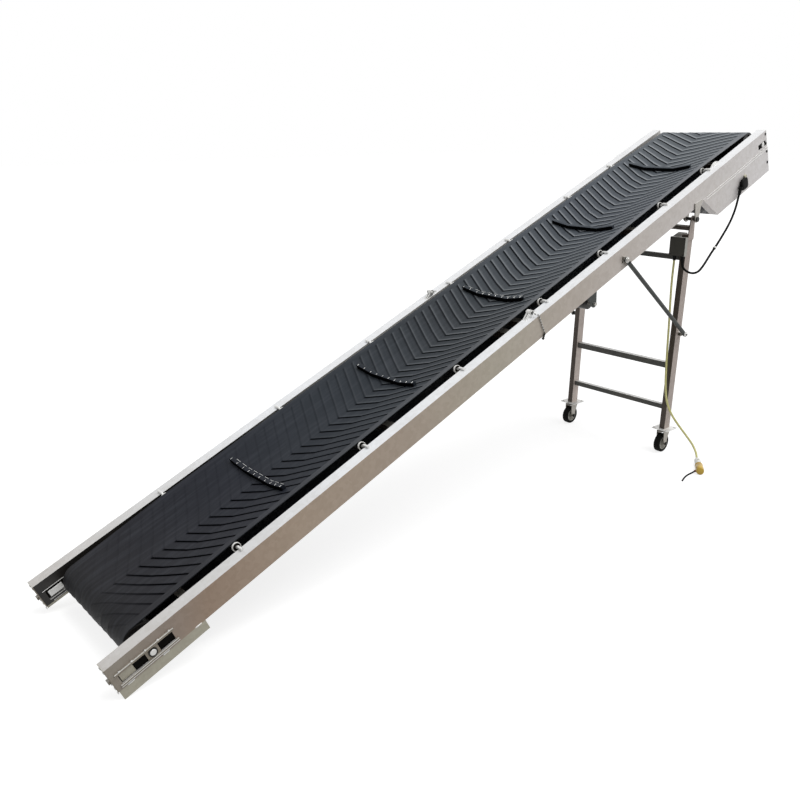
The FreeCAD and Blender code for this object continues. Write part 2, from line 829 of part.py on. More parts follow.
keep("return_hangers", on_slope("return_hangers", Part.makeCompound([hanger(1), hanger(-1)])))
shaft_reach = "(clear_width / 2 + beam_width / 2 + hanger_thick / 2 + 10)"
shaft = bar("ReturnShaft", "return_shaft / 2", "2 * " + shaft_reach, "return_place", "-" + shaft_reach,
            "-return_depth")
keep("return_shaft", incline(group("ReturnShaftLine", [shaft])))


# ---------------------------------------------------------------------------------------------
# Fold hinges on top of the beams, each with its pin
# ---------------------------------------------------------------------------------------------
def fold_lug(direction):
    """A lug in the s-n plane; direction -1 stands on the tail beam and 1 on the head beam."""
    length = size("fold_lug_length")
    height = size("fold_pin_height")
    eye = size("fold_pin")
    thick = size("fold_lug_thick")
    foot = [(direction * 2, 0), (direction * length, 0), (0, height + eye * 0.7), (0, height - eye * 0.7)]
    plate = prism(foot, thick)
    plate = plate.fuse(Part.makeCylinder(eye, thick, Vector(0, -thick / 2, height), Vector(0, 1, 0)))
    floor = Part.makeBox(4 * length, 4 * thick, 4 * length, Vector(-2 * length, -2 * thick, -4 * length))
    bore = Part.makeCylinder(eye / 2 + size("running_gap"), thick, Vector(0, -thick / 2, height),
                             Vector(0, 1, 0))
    return plate.cut(floor).cut(bore).removeSplitter()


def fold_hinge(side):
    thick = size("fold_lug_thick")
    step = thick + size("fit_gap")
    middle = side * (size("clear_width") / 2 + 2 * size("fold_lug_thick"))
    shapes = []
    for offset, direction in ((-step, -1), (0.0, 1), (step, -1)):
        lug = fold_lug(direction)
        lug.translate(Vector(size("fold_place"), middle + offset, 0))
        shapes.append(lug)
    reach = 1.5 * step + 6
    pin = Part.makeCylinder(size("fold_pin") / 2, 2 * reach,
                            Vector(size("fold_place"), middle - reach, size("fold_pin_height")),
                            Vector(0, 1, 0))
    shapes.append(pin)
    return shapes


keep("fold_hinges", on_slope("fold_hinges", Part.makeCompound(fold_hinge(1) + fold_hinge(-1))))


# ---------------------------------------------------------------------------------------------
# Head guard: a sheet trough under the head end, open where the belt passes
# ---------------------------------------------------------------------------------------------
def head_guard():
    start = size("guard_start")
    slant = size("guard_slant")
    top = -size("beam_height") + size("guard_lap")
    low = -guard_depth()
    end = size("beam_length") + 2 * size("end_plate")
    wall = size("guard_wall")
    half = size("clear_width") / 2 + size("beam_width") + size("fit_gap") + wall
    outer = prism([(start, top), (end, top), (end, low), (start + slant, low)], 2 * half)
    lean = math.hypot(slant, top - low) / (top - low) * wall
    inner = [
        (start + lean - 10 * slant / (top - low), top + 10),
        (end - size("end_plate") + size("fit_gap"), top + 10),
        (end - size("end_plate") + size("fit_gap"), low + wall),
        (start + slant + lean - wall * slant / (top - low), low + wall),
    ]
    shape = outer.cut(prism(inner, 2 * (half - wall)))
    passage_low = -2 * size("drum_radius") - 2 * size("belt_thickness") - 2 * size("cleat_height")
    belt_half = size("belt_width") / 2 + 12
    passage = Part.makeBox(end, 2 * belt_half, guard_depth(), Vector(start - 50, -belt_half, passage_low))
    beams = Part.makeBox(end, 2 * (half - wall), guard_depth(),
                         Vector(start - 50, -half + wall, -size("beam_height") - size("fit_gap")))
    front = Part.makeBox(slant + 50, 2 * (half - size("guard_flange")), top - low + 20,
                         Vector(start - 50, size("guard_flange") - half, low - 10))
    return shape.cut(passage).cut(beams).cut(front).removeSplitter()


keep("head_guard", on_slope("head_guard", head_guard()))


# ---------------------------------------------------------------------------------------------
# Leg hinge plates, one outside and one inside each beam, with the hinge bolt
# ---------------------------------------------------------------------------------------------
def hinge_plate(y, top):
    """A hanging plate in the X-Z plane, its bolt hole on the pivot."""
    half = size("hinge_width") / 2
    thick = size("hinge_thick")
    radius = size("hinge_bolt")
    points = [Vector(-half, 0, top - half * 0.3), Vector(half, 0, top + half * 0.3), Vector(radius, 0, 0),
              Vector(-radius, 0, 0), Vector(-half, 0, top - half * 0.3)]
    plate = Part.Face(Part.makePolygon(points)).extrude(Vector(0, thick, 0))
    plate = plate.fuse(Part.makeCylinder(radius, thick, Vector(), Vector(0, 1, 0)))
    bore = size("hinge_bolt") / 2 + size("running_gap")
    plate = plate.cut(Part.makeCylinder(bore, thick, Vector(), Vector(0, 1, 0)))
    plate.translate(Vector(PIVOT.x, y, PIVOT.z))
    return plate.removeSplitter()


def hinge_set(side):
    inner = size("clear_width") / 2
    outer = inner + size("beam_width")
    thick = size("hinge_thick")
    top = 86.0
    bolt = size("hinge_bolt") / 2
    faces = (outer, inner - thick) if side > 0 else (-outer - thick, -inner)
    shapes = [hinge_plate(y, top) for y in faces]
    reach = outer + thick
    rod = Part.makeCylinder(bolt, reach - inner + 2 * thick + 10, Vector(0, inner - thick - 10, 0),
                            Vector(0, 1, 0))
    head = Part.makeCylinder(1.5 * bolt, 0.8 * bolt, Vector(0, reach, 0), Vector(0, 1, 0))
    nut = Part.makeCylinder(1.5 * bolt, 0.8 * bolt, Vector(0, inner - thick - 0.8 * bolt, 0), Vector(0, 1, 0))
    pin = rod.multiFuse([head, nut])
    if side < 0:
        pin.rotate(Vector(), Vector(0, 0, 1), 180)
    pin.translate(PIVOT)
    return shapes, pin


hinge_plates = []
hinge_bolts = []
for name, side in LEG_SIDES:
    shapes, pin = hinge_set(side)
    hinge_plates.extend(shapes)
    hinge_bolts.append(pin.removeSplitter())
keep("leg_hinge_plates", solid_feature("leg_hinge_plates", Part.makeCompound(hinge_plates)))
keep("leg_hinge_bolts", solid_feature("leg_hinge_bolts", Part.makeCompound(hinge_bolts)))


# ---------------------------------------------------------------------------------------------
# Legs: rectangular tube with horizontal ends that leans back to the caster, ears at the top
# ---------------------------------------------------------------------------------------------
def leg(name, side):
    depth = size("leg_depth")
    width = size("leg_width")
    wall = size("leg_wall")
    inner = size("clear_width") / 2 + size("fit_gap")
    low = caster_height()
    high = PIVOT.z - size("leg_top_gap")
    y = inner if side > 0 else -inner - width
    run = Vector(leg_centre(high) - leg_centre(low), 0, high - low)
    start = Vector(leg_centre(low) - depth / 2, y, low)
    outer = Part.makePlane(depth, width, start).extrude(run)
    core = Part.makePlane(depth - 2 * wall, width - 2 * wall, start + Vector(wall, wall, 0)).extrude(run)
    return keep("leg_" + name, solid_feature("leg_" + name, outer.cut(core)))


def leg_ear(side, outside):
    """A flat ear from the top of the leg up to the hinge bolt."""
    thick = size("ear_thick")
    inner = size("clear_width") / 2 + size("fit_gap")
    y = inner + size("leg_width") if outside else inner - thick
    top = PIVOT.z - size("leg_top_gap")
    radius = size("hinge_bolt") * 1.1
    half = size("leg_depth") / 2
    low = top - half
    points = [Vector(leg_centre(low) - half, 0, low), Vector(leg_centre(low) + half, 0, low),
              Vector(leg_centre(top) + half, 0, top), Vector(PIVOT.x + radius, 0, PIVOT.z),
              Vector(PIVOT.x - radius, 0, PIVOT.z), Vector(leg_centre(top) - half, 0, top)]
    points.append(points[0])
    plate = Part.Face(Part.makePolygon(points)).extrude(Vector(0, thick, 0))
    centre = Vector(PIVOT.x, 0, PIVOT.z)
    plate = plate.fuse(Part.makeCylinder(radius, thick, centre, Vector(0, 1, 0)))
    bore = size("hinge_bolt") / 2 + size("running_gap")
    plate = plate.cut(Part.makeCylinder(bore, thick, centre, Vector(0, 1, 0)))
    plate.translate(Vector(0, y if side > 0 else -y - thick, 0))
    return plate.removeSplitter()


ears = []
for name, side in LEG_SIDES:
    leg(name, side)
    ears.append(leg_ear(side, True))
keep("leg_ears", solid_feature("leg_ears", Part.makeCompound(ears)))


def cross_bar(name, alias):
    """A square tube between the legs at the height that the sheet gives."""
    height = alias + "_height"
    breadth = alias + "_size"
    outer = box(name + "Outer", breadth, "2 * " + LEG_INNER, breadth,
                "%s - %s / 2" % (leg_x(height), breadth), "-" + LEG_INNER, "%s - %s / 2" % (height, breadth))
    core = box(name + "Core", breadth + " - 2 * bar_wall", "2 * %s + 2" % LEG_INNER,
               breadth + " - 2 * bar_wall", "%s - %s / 2 + bar_wall" % (leg_x(height), breadth),
               "-%s - 1" % LEG_INNER, "%s - %s / 2 + bar_wall" % (height, breadth))
    return cut(name, outer, core)


bars = [
    cross_bar("TopBar", "top_bar"),
    cross_bar("UpperBar", "upper_bar"),
    cross_bar("LowerBar", "lower_bar"),
]
keep("leg_cross_bars", group("LegCrossBars", bars))
tube = bar("TopTubeOuter", "top_tube / 2", "2 * (%s + leg_width)" % LEG_INNER, "%s - 4" % PIVOT_X,
           "-%s - leg_width" % LEG_INNER, "%s - top_tube_drop" % PIVOT_Z)
tube_core = bar("TopTubeCore", "top_tube / 2 - bar_wall", "2 * (%s + leg_width) + 2" % LEG_INNER,
                "%s - 4" % PIVOT_X, "-%s - leg_width - 1" % LEG_INNER, "%s - top_tube_drop" % PIVOT_Z)
keep("leg_top_tube", cut("LegTopTube", tube, tube_core))


# ---------------------------------------------------------------------------------------------
# Control box on the inner face of the right leg, with a lid that covers the leg's front
# ---------------------------------------------------------------------------------------------
def control_box():
    low = size("box_bottom")
    high = low + size("box_height")
    slope = size("box_slope")
    middle = leg_centre((low + high) / 2)
    front = middle - size("leg_depth") / 2 - 1.5
    back = middle + size("leg_depth") / 2
    inner = size("clear_width") / 2
    wall = 2.0

    def case(gap):
        points = [Vector(front + gap, 0, low + gap), Vector(back - gap, 0, low + gap),
                  Vector(back - gap, 0, high + slope - gap), Vector(front + gap, 0, high - gap)]
        points.append(points[0])
        depth = size("box_inner") - 2 * gap
        face = Part.Face(Part.makePolygon(points))
        face.translate(Vector(0, -inner + gap, 0))
        return face.extrude(Vector(0, depth, 0))

    mouth = case(wall)
    mouth.translate(Vector(-2 * wall, 0, 0))
    shell = case(0.0).cut(case(wall)).cut(mouth)
    deep = size("box_lid")
    wide = size("box_inner") + size("leg_width") + 6
    corner = Vector(front - deep, -inner - size("leg_width") - 6, low)
    lid = Part.makeBox(deep, wide, high - low, corner)
    tray = Part.makeBox(deep, wide - 2 * wall, high - low - 2 * wall, corner + Vector(wall, wall, wall))
    return shell, lid.cut(tray)


shell, lid = control_box()
keep("control_box", solid_feature("control_box", shell))
keep("control_box_lid", solid_feature("control_box_lid", lid))


# ---------------------------------------------------------------------------------------------
# Struts: a tube with an eye at each end, on a bolt through the beam and a bolt at the leg
# ---------------------------------------------------------------------------------------------
STRUT_TOP = slope_point(size("strut_place"), 0.0, -size("strut_drop"))
STRUT_FOOT = Vector(leg_centre(size("strut_foot_height")) + 6, 0, size("strut_foot_height"))


def strut(side):
    plane = size("clear_width") / 2 + size("beam_width") + size("strut_plane")
    run = STRUT_FOOT - STRUT_TOP
    unit = run * (1 / run.Length)
    radius = size("strut_diameter") / 2
    eye = size("strut_eye")
    bolt = size("strut_bolt") / 2
    inset = 1.2 * size("strut_diameter")
    outer = Part.makeCylinder(radius, run.Length - 2 * inset, STRUT_TOP + unit * inset, unit)
    hollow = run.Length - 2 * inset
    bore = Part.makeCylinder(radius - size("strut_wall"), hollow, STRUT_TOP + unit * inset, unit)
    shape = outer.cut(bore)
    for point, sign in ((STRUT_TOP, 1), (STRUT_FOOT, -1)):
        start = point - Vector(0, eye / 2, 0)
        disc = Part.makeCylinder(radius * 1.15, eye, start, Vector(0, 1, 0))
        neck = Part.makeBox(inset + 2 * radius, eye, 2 * radius - 2, Vector(0, -eye / 2, -radius + 1))
        angle = math.degrees(math.atan2(-unit.z * sign, unit.x * sign))
        neck.rotate(Vector(), Vector(0, 1, 0), angle)
        neck.translate(point)
        shape = shape.fuse(disc).fuse(neck)
    across = Vector(0, 1, 0)
    top = Part.makeCylinder(bolt + size("running_gap"), 2 * eye, STRUT_TOP - across * eye, across)
    shape = shape.cut(top)
    pin = Part.makeCylinder(bolt, radius + eye + 9, STRUT_FOOT - Vector(0, radius + 5, 0), Vector(0, 1, 0))
    shape = shape.fuse(pin)
    shape.translate(Vector(0, plane, 0))
    if side < 0:
        shape = shape.mirror(Vector(), Vector(0, 1, 0))
    return shape.removeSplitter()


def strut_bracket(side):
    """Plate and bolt on the beam's outer face; the bolt carries the strut's upper eye."""
    face = size("clear_width") / 2 + size("beam_width")
    plane = face + size("strut_plane")
    bolt = size("strut_bolt") / 2
    plate = Part.makeBox(26, 5, 30, Vector(STRUT_TOP.x - 13, face, STRUT_TOP.z - 15))
    rod = Part.makeCylinder(bolt, plane - face + 12, Vector(STRUT_TOP.x, face, STRUT_TOP.z), Vector(0, 1, 0))
    head = Part.makeCylinder(1.6 * bolt, 6, Vector(STRUT_TOP.x, plane + 5, STRUT_TOP.z), Vector(0, 1, 0))
    shape = plate.multiFuse([rod, head])
    if side < 0:
        shape = shape.mirror(Vector(), Vector(0, 1, 0))
    return shape.removeSplitter()


def strut_lug(side):
    """Boss on the leg's outer face, up to the end of the strut's lower bolt."""
    face = size("clear_width") / 2 + size("fit_gap") + size("leg_width")
    plane = size("clear_width") / 2 + size("beam_width") + size("strut_plane")
    reach = plane - size("strut_diameter") / 2 - 5 - size("fit_gap") - face
    start = Vector(STRUT_FOOT.x, face, STRUT_FOOT.z)
    boss = Part.makeCylinder(size("strut_bolt"), reach, start, Vector(0, 1, 0))
    if side < 0:
        boss = boss.mirror(Vector(), Vector(0, 1, 0))
    return boss


for name, side in LEG_SIDES:
    keep("strut_" + name, solid_feature("strut_" + name, strut(side)))
brackets = Part.makeCompound([strut_bracket(1), strut_bracket(-1)])
keep("strut_brackets", solid_feature("strut_brackets", brackets))
keep("strut_lugs", solid_feature("strut_lugs", Part.makeCompound([strut_lug(1), strut_lug(-1)])))


# ---------------------------------------------------------------------------------------------
# Casters: top plate on the leg, swivel fork with axle bolt, hub and tyre
# ---------------------------------------------------------------------------------------------
def caster_plate(name, side):
    y = LEG_Y if side > 0 else "-" + LEG_Y
    plate = box("CasterPlate_" + name, "caster_plate", "caster_plate", "caster_plate_thick",
                "%s - caster_plate / 2" % FOOT_X, "%s - caster_plate / 2" % y,
                "%s - caster_plate_thick" % CASTER_HEIGHT)
    return plate


keep("caster_plates", group("CasterPlates", [caster_plate(name, side) for name, side in LEG_SIDES]))


def fork_shape():
    """Fork in its own frame: swivel axis on Z, wheel axle along Y at -trail."""
    top = caster_height() - size("caster_plate_thick")
    race = size("race_height")
    wall = size("fork_wall")
    inner = size("wheel_width") / 2 + size("fork_gap")
    trail = size("caster_trail")
    axle = size("axle_diameter") / 2
    level = size("wheel_diameter") / 2
    crown = top - race - wall
    disc = Part.makeCylinder(30, race - 0.5, Vector(0, 0, crown + wall), Vector(0, 0, 1))
    plate = Part.makeBox(56, 2 * (inner + wall), wall, Vector(-34, -inner - wall, crown))
    arms = []
    for y in (-inner - wall, inner):
        points = [Vector(-34, y, crown + wall), Vector(22, y, crown + wall), Vector(-trail + 13, y, level),
                  Vector(-trail - 13, y, level)]
        points.append(points[0])
        arm = Part.Face(Part.makePolygon(points)).extrude(Vector(0, wall, 0))
        arm = arm.fuse(Part.makeCylinder(13, wall, Vector(-trail, y, level), Vector(0, 1, 0)))
        arms.append(arm)
    reach = inner + wall
    rod = Part.makeCylinder(axle, 2 * reach + 12, Vector(-trail, -reach - 6, level), Vector(0, 1, 0))
    ends = [Part.makeCylinder(1.5 * axle, 5, Vector(-trail, y, level), Vector(0, 1, 0))
            for y in (-reach - 5, reach)]
    return disc.multiFuse([plate, rod] + arms + ends).removeSplitter()


def wheel_parts():
    """Tyre and hub round the axle, about the origin."""
    outer = size("wheel_diameter") / 2
    rim = outer - size("tyre_thickness")
    width = size("wheel_width")
    along = Vector(0, 1, 0)
    start = Vector(0, -width / 2, 0)
    tyre = Part.makeCylinder(outer, width, start, along)
    tyre = tyre.makeFillet(5, [e for e in tyre.Edges if abs(e.Length - 2 * math.pi * outer) < 1])
    tyre = tyre.cut(Part.makeCylinder(rim, width, start, along))
    boss = width + 2 * size("fork_gap") - 1
    hub = Part.makeCylinder(rim, width - 4, Vector(0, -width / 2 + 2, 0), along)
    hub = hub.fuse(Part.makeCylinder(15, boss, Vector(0, -boss / 2, 0), along))
    for y in (-width / 2 + 2, width / 2 - 8):
        groove = Part.makeCylinder(rim - 7, 6, Vector(0, y, 0), along)
        groove = groove.cut(Part.makeCylinder(15, 6, Vector(0, y, 0), along))
        hub = hub.cut(groove)
    bore = size("axle_diameter") / 2 + size("running_gap")
    hub = hub.cut(Part.makeCylinder(bore, boss, Vector(0, -boss / 2, 0), along))
    return tyre, hub.removeSplitter()


def caster(name, side):
    spot = Vector(leg_centre(caster_height()), 0, 0)
    spot.y = side * (size("clear_width") / 2 + size("fit_gap") + size("leg_width") / 2)
    fork = fork_shape()
    fork.translate(spot)
    keep("caster_fork_" + name, solid_feature("caster_fork_" + name, fork))
    tyre, hub = wheel_parts()
    centre = spot + Vector(-size("caster_trail"), 0, size("wheel_diameter") / 2)
    tyre.translate(centre)
    hub.translate(centre)
    keep("caster_tyre_" + name, solid_feature("caster_tyre_" + name, tyre))
    keep("caster_hub_" + name, solid_feature("caster_hub_" + name, hub))
    return spot


for name, side in LEG_SIDES:
    stem = caster(name, side)
    print("caster stem", name, [round(c, 3) for c in stem])


# ---------------------------------------------------------------------------------------------
# Rounded lug on the right head beam's inner top edge, and the fold's locking pin on its chain
# ---------------------------------------------------------------------------------------------
def beam_lug():
    """A low plate with an arched top, standing on the beam's top face."""
    half = size("lug_length") / 2
    height = size("lug_height")
    radius = (half ** 2 + height ** 2) / (2 * height)
    disc = Part.makeCylinder(radius, 6, Vector(size("lug_place"), -3, height - radius), Vector(0, 1, 0))
    plate = disc.common(Part.makeBox(2 * half, 6, height, Vector(size("lug_place") - half, -3, 0)))
    plate.translate(Vector(0, -size("clear_width") / 2 - 4, 0))
    return plate


keep("beam_lug", on_slope("beam_lug", beam_lug()))


def lock_pin():
    """Pin that hangs on a short chain from the right fold hinge; the chain is one thin rod."""
    place = size("fold_place")
    face = -size("clear_width") / 2 - size("beam_width") - size("fit_gap") - 4
    hinge_end = -size("clear_width") / 2 - 2 * size("fold_lug_thick") - 15.45
    depth = size("beam_height")
    route = [Vector(place, hinge_end - 1.2, size("fold_pin_height")), Vector(place + 8, face, 4),
             Vector(place + 18, face, 8 - depth)]
    tip = Vector(place - 3, face, -depth - 9)
    rod = tube_along(rounded(route)[0], route, 4)
    lean = tip - route[2]
    lean.normalize()
    head = route[2] - lean * 5
    pin = Part.makeCylinder(4, (tip - head).Length, head, lean)
    return pin.multiFuse([rod, Part.makeSphere(6, tip, lean)]).removeSplitter()


keep("lock_pin", on_slope("lock_pin", lock_pin()))


# ---------------------------------------------------------------------------------------------
# Terminal box of the drum motor, on the guard's right side, with its gland
# ---------------------------------------------------------------------------------------------
def terminal_box():
    """The box and its gland, and the gland's mouth and direction in the row frame."""
    face = size("clear_width") / 2 + size("beam_width") + size("fit_gap") + size("guard_wall")
    place = size("terminal_place")
    top = -size("terminal_top")
    depth = size("terminal_depth")
    case = Part.makeBox(size("terminal_length"), depth, size("terminal_height"),
                        Vector(place, -face - depth, top - size("terminal_height")))
    case = case.makeFillet(3, case.Edges)
    mouth = Vector(place - 18.5, -face - depth * 0.59, top - size("terminal_height") + 4)
    lean = Vector(0.596, 0, 0.803)
    gland = Part.makeCone(size("terminal_gland") - 1.5, size("terminal_gland"), 30, mouth, lean)
    nut = Part.makeCylinder(size("terminal_gland") + 2, 14, mouth + lean * 28, lean)
    below = mouth - lean
    return (case.multiFuse([gland, nut]).removeSplitter(), slope_point(mouth.x, mouth.y, mouth.z),
            slope_point(mouth.x, mouth.y, mouth.z) - slope_point(below.x, below.y, below.z))


shape, MOTOR_END, MOTOR_IN = terminal_box()
keep("terminal_box", on_slope("terminal_box", shape))


# ---------------------------------------------------------------------------------------------
# Glands below the control box lid
# ---------------------------------------------------------------------------------------------
def gland_mouth(y):
    """Centre of the lower face of a gland, at a distance y from the middle plane."""
    middle = leg_centre(size("box_bottom") + size("box_height") / 2)
    x = middle - size("leg_depth") / 2 - 1.5 - size("box_lid") / 2
    return Vector(x, -y, size("box_bottom") - size("box_gland"))


MOTOR_START = gland_mouth(size("clear_width") / 2 + 22)
POWER_START = gland_mouth(size("clear_width") / 2 - 22)
glands = []
for mouth in (MOTOR_START, POWER_START):
    cone = Part.makeCone(7.5, 9, size("box_gland"), mouth, Vector(0, 0, 1))
    glands.append(cone)
keep("box_glands", solid_feature("box_glands", Part.makeCompound(glands)))


# ---------------------------------------------------------------------------------------------
# Cords: straight runs joined by tangent arcs, along routes that begin and end at their fittings
# ---------------------------------------------------------------------------------------------
def carried(route, start, out, end, into=None):
    """The route moved to run from start to end; its end runs lie square to the fittings' faces."""
    points = [Vector(*p) for p in route]
    first = start - points[0]
    last = end - points[-1]
    share = len(points) - 1
    moved = [p + first * (1 - i / share) + last * (i / share) for i, p in enumerate(points)]
    out.normalize()
    moved[1] = start + out * (points[1] - points[0]).Length
    if into is not None:
        into.normalize()
        moved[-2] = end - into * (points[-1] - points[-2]).Length
    return moved


def cord(node, points, diameter):
    """A round tube along the points; prints its length, radii and volume."""
    path, radii = rounded(points)
    tube = tube_along(path, points, diameter)
    share = tube.Volume / (path.Length * math.pi * diameter ** 2 / 4)
    print(node, "length %.0f" % path.Length, "volume ratio %.4f" % share, "radii",
          [round(r) for r in radii])
    print(node, "points", [[round(c / 1000, 5) for c in p] for p in points])
    keep(node, solid_feature(node, tube))


MOTOR_ROUTE = [
    (1172.5, -311, 1037), (1172.5, -311, 1009), (1171, -325, 985.5), (1177.5, -347, 970), (1197, -365, 964.5),
    (1225.5, -375, 970.5), (1266, -374, 992), (1318, -367.5, 1025), (1368, -362, 1059), (1412, -359, 1087.5),
    (1458, -355.5, 1122), (1505.5, -354, 1163.5), (1543.5, -354, 1208), (1571.5, -354, 1258),
    (1585.4, -354, 1305.9), (1592.7, -354, 1334),
]
POWER_ROUTE = [
    (1172.5, -267, 1037), (1172.5, -267, 1003), (1166.5, -269, 945), (1158.5, -275, 865), (1154, -282, 775),
    (1151, -288, 675), (1148.5, -293, 572), (1146, -299, 470), (1143, -307, 372), (1145.5, -321, 288),
    (1160, -347, 222), (1184, -377, 168), (1201, -414, 120), (1213.7, -446.9, 79.2), (1213, -469.3, 53.7),
    (1201.8, -490.4, 32.6), (1180.2, -506.9, 20), (1157.2, -522.9, 20),
]
WIRE_ROUTE = [
    (1021, -590, 13), (1003, -585.5, 7.7), (978, -581, 5), (950, -583, 4.3), (921, -589.5, 4.1),
    (893.5, -598, 4.1),
]
DOWN = Vector(0, 0, -1)
cord("motor_cable", carried(MOTOR_ROUTE, MOTOR_START, Vector(DOWN), MOTOR_END, MOTOR_IN),
     size("motor_cable_diameter"))
plug_radius = size("plug_diameter") / 2
PLUG_START = Vector(POWER_START.x - 15.3, -522.9, plug_radius)
PLUG_WAY = Vector(-0.821, -0.571, 0)
cord("power_cord", carried(POWER_ROUTE, POWER_START, Vector(DOWN), PLUG_START, Vector(PLUG_WAY)),
     size("power_cord_diameter"))
WIRE_START = PLUG_START + Vector(-136.4, -67.1, -7)
WIRE_END = WIRE_START + Vector(-127.5, -8, 4.1 - WIRE_START.z)
BOSS_WAY = Vector(32, -8, 9.5)
TIP_WAY = Vector(-28, -9, 0)
cord("tail_wire", carried(WIRE_ROUTE, WIRE_START, BOSS_WAY * -1, WIRE_END, Vector(TIP_WAY)),
     size("tail_wire_diameter"))


def plug():
    """The connector lying on the floor: cap, body and a small boss for the tail wire."""
    heading = Vector(PLUG_WAY)
    heading.normalize()
    cap = 0.44 * size("plug_length")
    cone = Part.makeCone(0.4 * plug_radius, 0.7 * plug_radius, cap * 0.2, PLUG_START, heading)
    collar = Part.makeCylinder(0.7 * plug_radius, cap * 0.8, PLUG_START + heading * cap * 0.2, heading)
    body = Part.makeCylinder(plug_radius, size("plug_length") - cap, PLUG_START + heading * cap, heading)
    body = body.makeFillet(3, [e for e in body.Edges if e.Length > 5 * plug_radius and e.Closed])
    boss = Part.makeCylinder(5, BOSS_WAY.Length, WIRE_START, BOSS_WAY)
    return cone.multiFuse([collar, body, boss]).removeSplitter()


keep("cord_connector", solid_feature("cord_connector", plug()))
tip = Part.makeCylinder(4.1, 9, WIRE_END, TIP_WAY)
keep("wire_end", solid_feature("wire_end", tip))


# ---------------------------------------------------------------------------------------------
# Check every object, then write the files
# ---------------------------------------------------------------------------------------------
doc.recompute()
faulty = [item.Name for item in doc.Objects if "Invalid" in item.State or "Error" in item.State]
for node, item in NODES.items():
    if item.Shape.isNull() or not item.Shape.isValid():
        faulty.append(node)
if faulty:
    raise RuntimeError("faulty objects: %s" % ", ".join(faulty))

os.makedirs("parts", exist_ok=True)
for node, item in NODES.items():
    item.Shape.exportStep("parts/%s.step" % node)
print("pivot", [round(c, 3) for c in PIVOT], "strut top", [round(c, 3) for c in STRUT_TOP])
print(len(NODES), "nodes,", round(sum(i.Shape.Volume for i in NODES.values()) / 1e9, 5), "m3")
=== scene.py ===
# %% [markdown]
# # A mobile belt conveyor
# An inclined belt between two steel tubes, on two tail feet and a folding leg frame with casters.
# The CAD model gives every load-bearing piece at its real size. This file adds what the eye looks
# for next: the belt's chevron pattern, weld beads, screws, chain links, cords and surface finishes.

# %% Load the CAD frame
import math

import bmesh
import bpy
import numpy as np
from mathutils import Matrix, Vector


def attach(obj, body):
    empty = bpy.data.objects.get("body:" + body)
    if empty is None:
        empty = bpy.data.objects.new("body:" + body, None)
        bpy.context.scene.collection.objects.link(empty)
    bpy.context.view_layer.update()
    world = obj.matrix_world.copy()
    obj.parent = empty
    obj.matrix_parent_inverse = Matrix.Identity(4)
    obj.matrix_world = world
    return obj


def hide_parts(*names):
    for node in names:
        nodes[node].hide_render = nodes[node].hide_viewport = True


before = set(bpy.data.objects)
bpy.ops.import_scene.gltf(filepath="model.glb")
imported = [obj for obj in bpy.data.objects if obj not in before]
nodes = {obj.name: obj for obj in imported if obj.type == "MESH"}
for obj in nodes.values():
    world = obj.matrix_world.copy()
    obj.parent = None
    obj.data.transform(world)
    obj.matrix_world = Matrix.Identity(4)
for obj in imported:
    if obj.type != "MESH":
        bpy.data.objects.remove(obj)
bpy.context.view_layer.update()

# %% [markdown]
# ## The camera
# A camera looks down its own -Z axis, so its matrix is built from three directions: to the right,
# upwards, and back from the view. They come from a heading, a pitch and a small roll.

# %% Camera
EYE = Vector((-2.59664, -2.46787, 1.65942))
HEADING, PITCH, ROLL = math.radians(48.843), math.radians(-18.395), math.radians(-0.238)
forward = math.cos(PITCH)
ahead = Vector((forward * math.cos(HEADING), forward * math.sin(HEADING), math.sin(PITCH)))
right = ahead.cross(Vector((0, 0, 1))).normalized()
above = right.cross(ahead)
level = right * math.cos(ROLL) + above * math.sin(ROLL)
upright = above * math.cos(ROLL) - right * math.sin(ROLL)
camera = bpy.data.objects.new("camera", bpy.data.cameras.new("camera"))
camera.data.lens = 36.72
camera.data.sensor_width = 36.0
camera.data.clip_end = 100.0
turn = Matrix((level, upright, -ahead)).transposed().to_quaternion()
camera.matrix_world = Matrix.LocRotScale(EYE, turn, None)
bpy.context.collection.objects.link(camera)
bpy.context.scene.camera = camera
print("camera at", [round(c, 3) for c in camera.location])

# %% [markdown]
# ## Building with arrays
# Every new surface here is a grid: a function of two parameters worked out for whole arrays at
# once. A grid may close on itself either way, like a ring. These helpers list its faces, lay a
# round section along a path, and turn a profile about an axis.

# %% Grid helpers
def grid_faces(rows, columns, close_rows=False, close_columns=False):
    """Four corner numbers for each cell of a grid that is stored row by row."""
    i = np.arange(rows if close_rows else rows - 1)[:, None]
    j = np.arange(columns if close_columns else columns - 1)[None, :]
    below, beside = (i + 1) % rows, (j + 1) % columns
    corners = (i * columns + j, i * columns + beside,
               below * columns + beside, below * columns + j)
    return np.stack(np.broadcast_arrays(*corners), axis=-1).reshape(-1, 4)


def unit(vectors):
    """Vectors divided by their lengths."""
    vectors = np.asarray(vectors, float)
    return vectors / np.linalg.norm(vectors, axis=-1, keepdims=True)


def join(*parts):
    """Several (points, faces) pairs as one, with the face numbers moved on."""
    points, faces, first = [], [], 0
    for some_points, some_faces in parts:
        some_points = np.reshape(some_points, (-1, 3))
        points.append(some_points)
        faces.append(np.asarray(some_faces) + first)
        first += len(some_points)
    return np.concatenate(points), np.concatenate(faces)


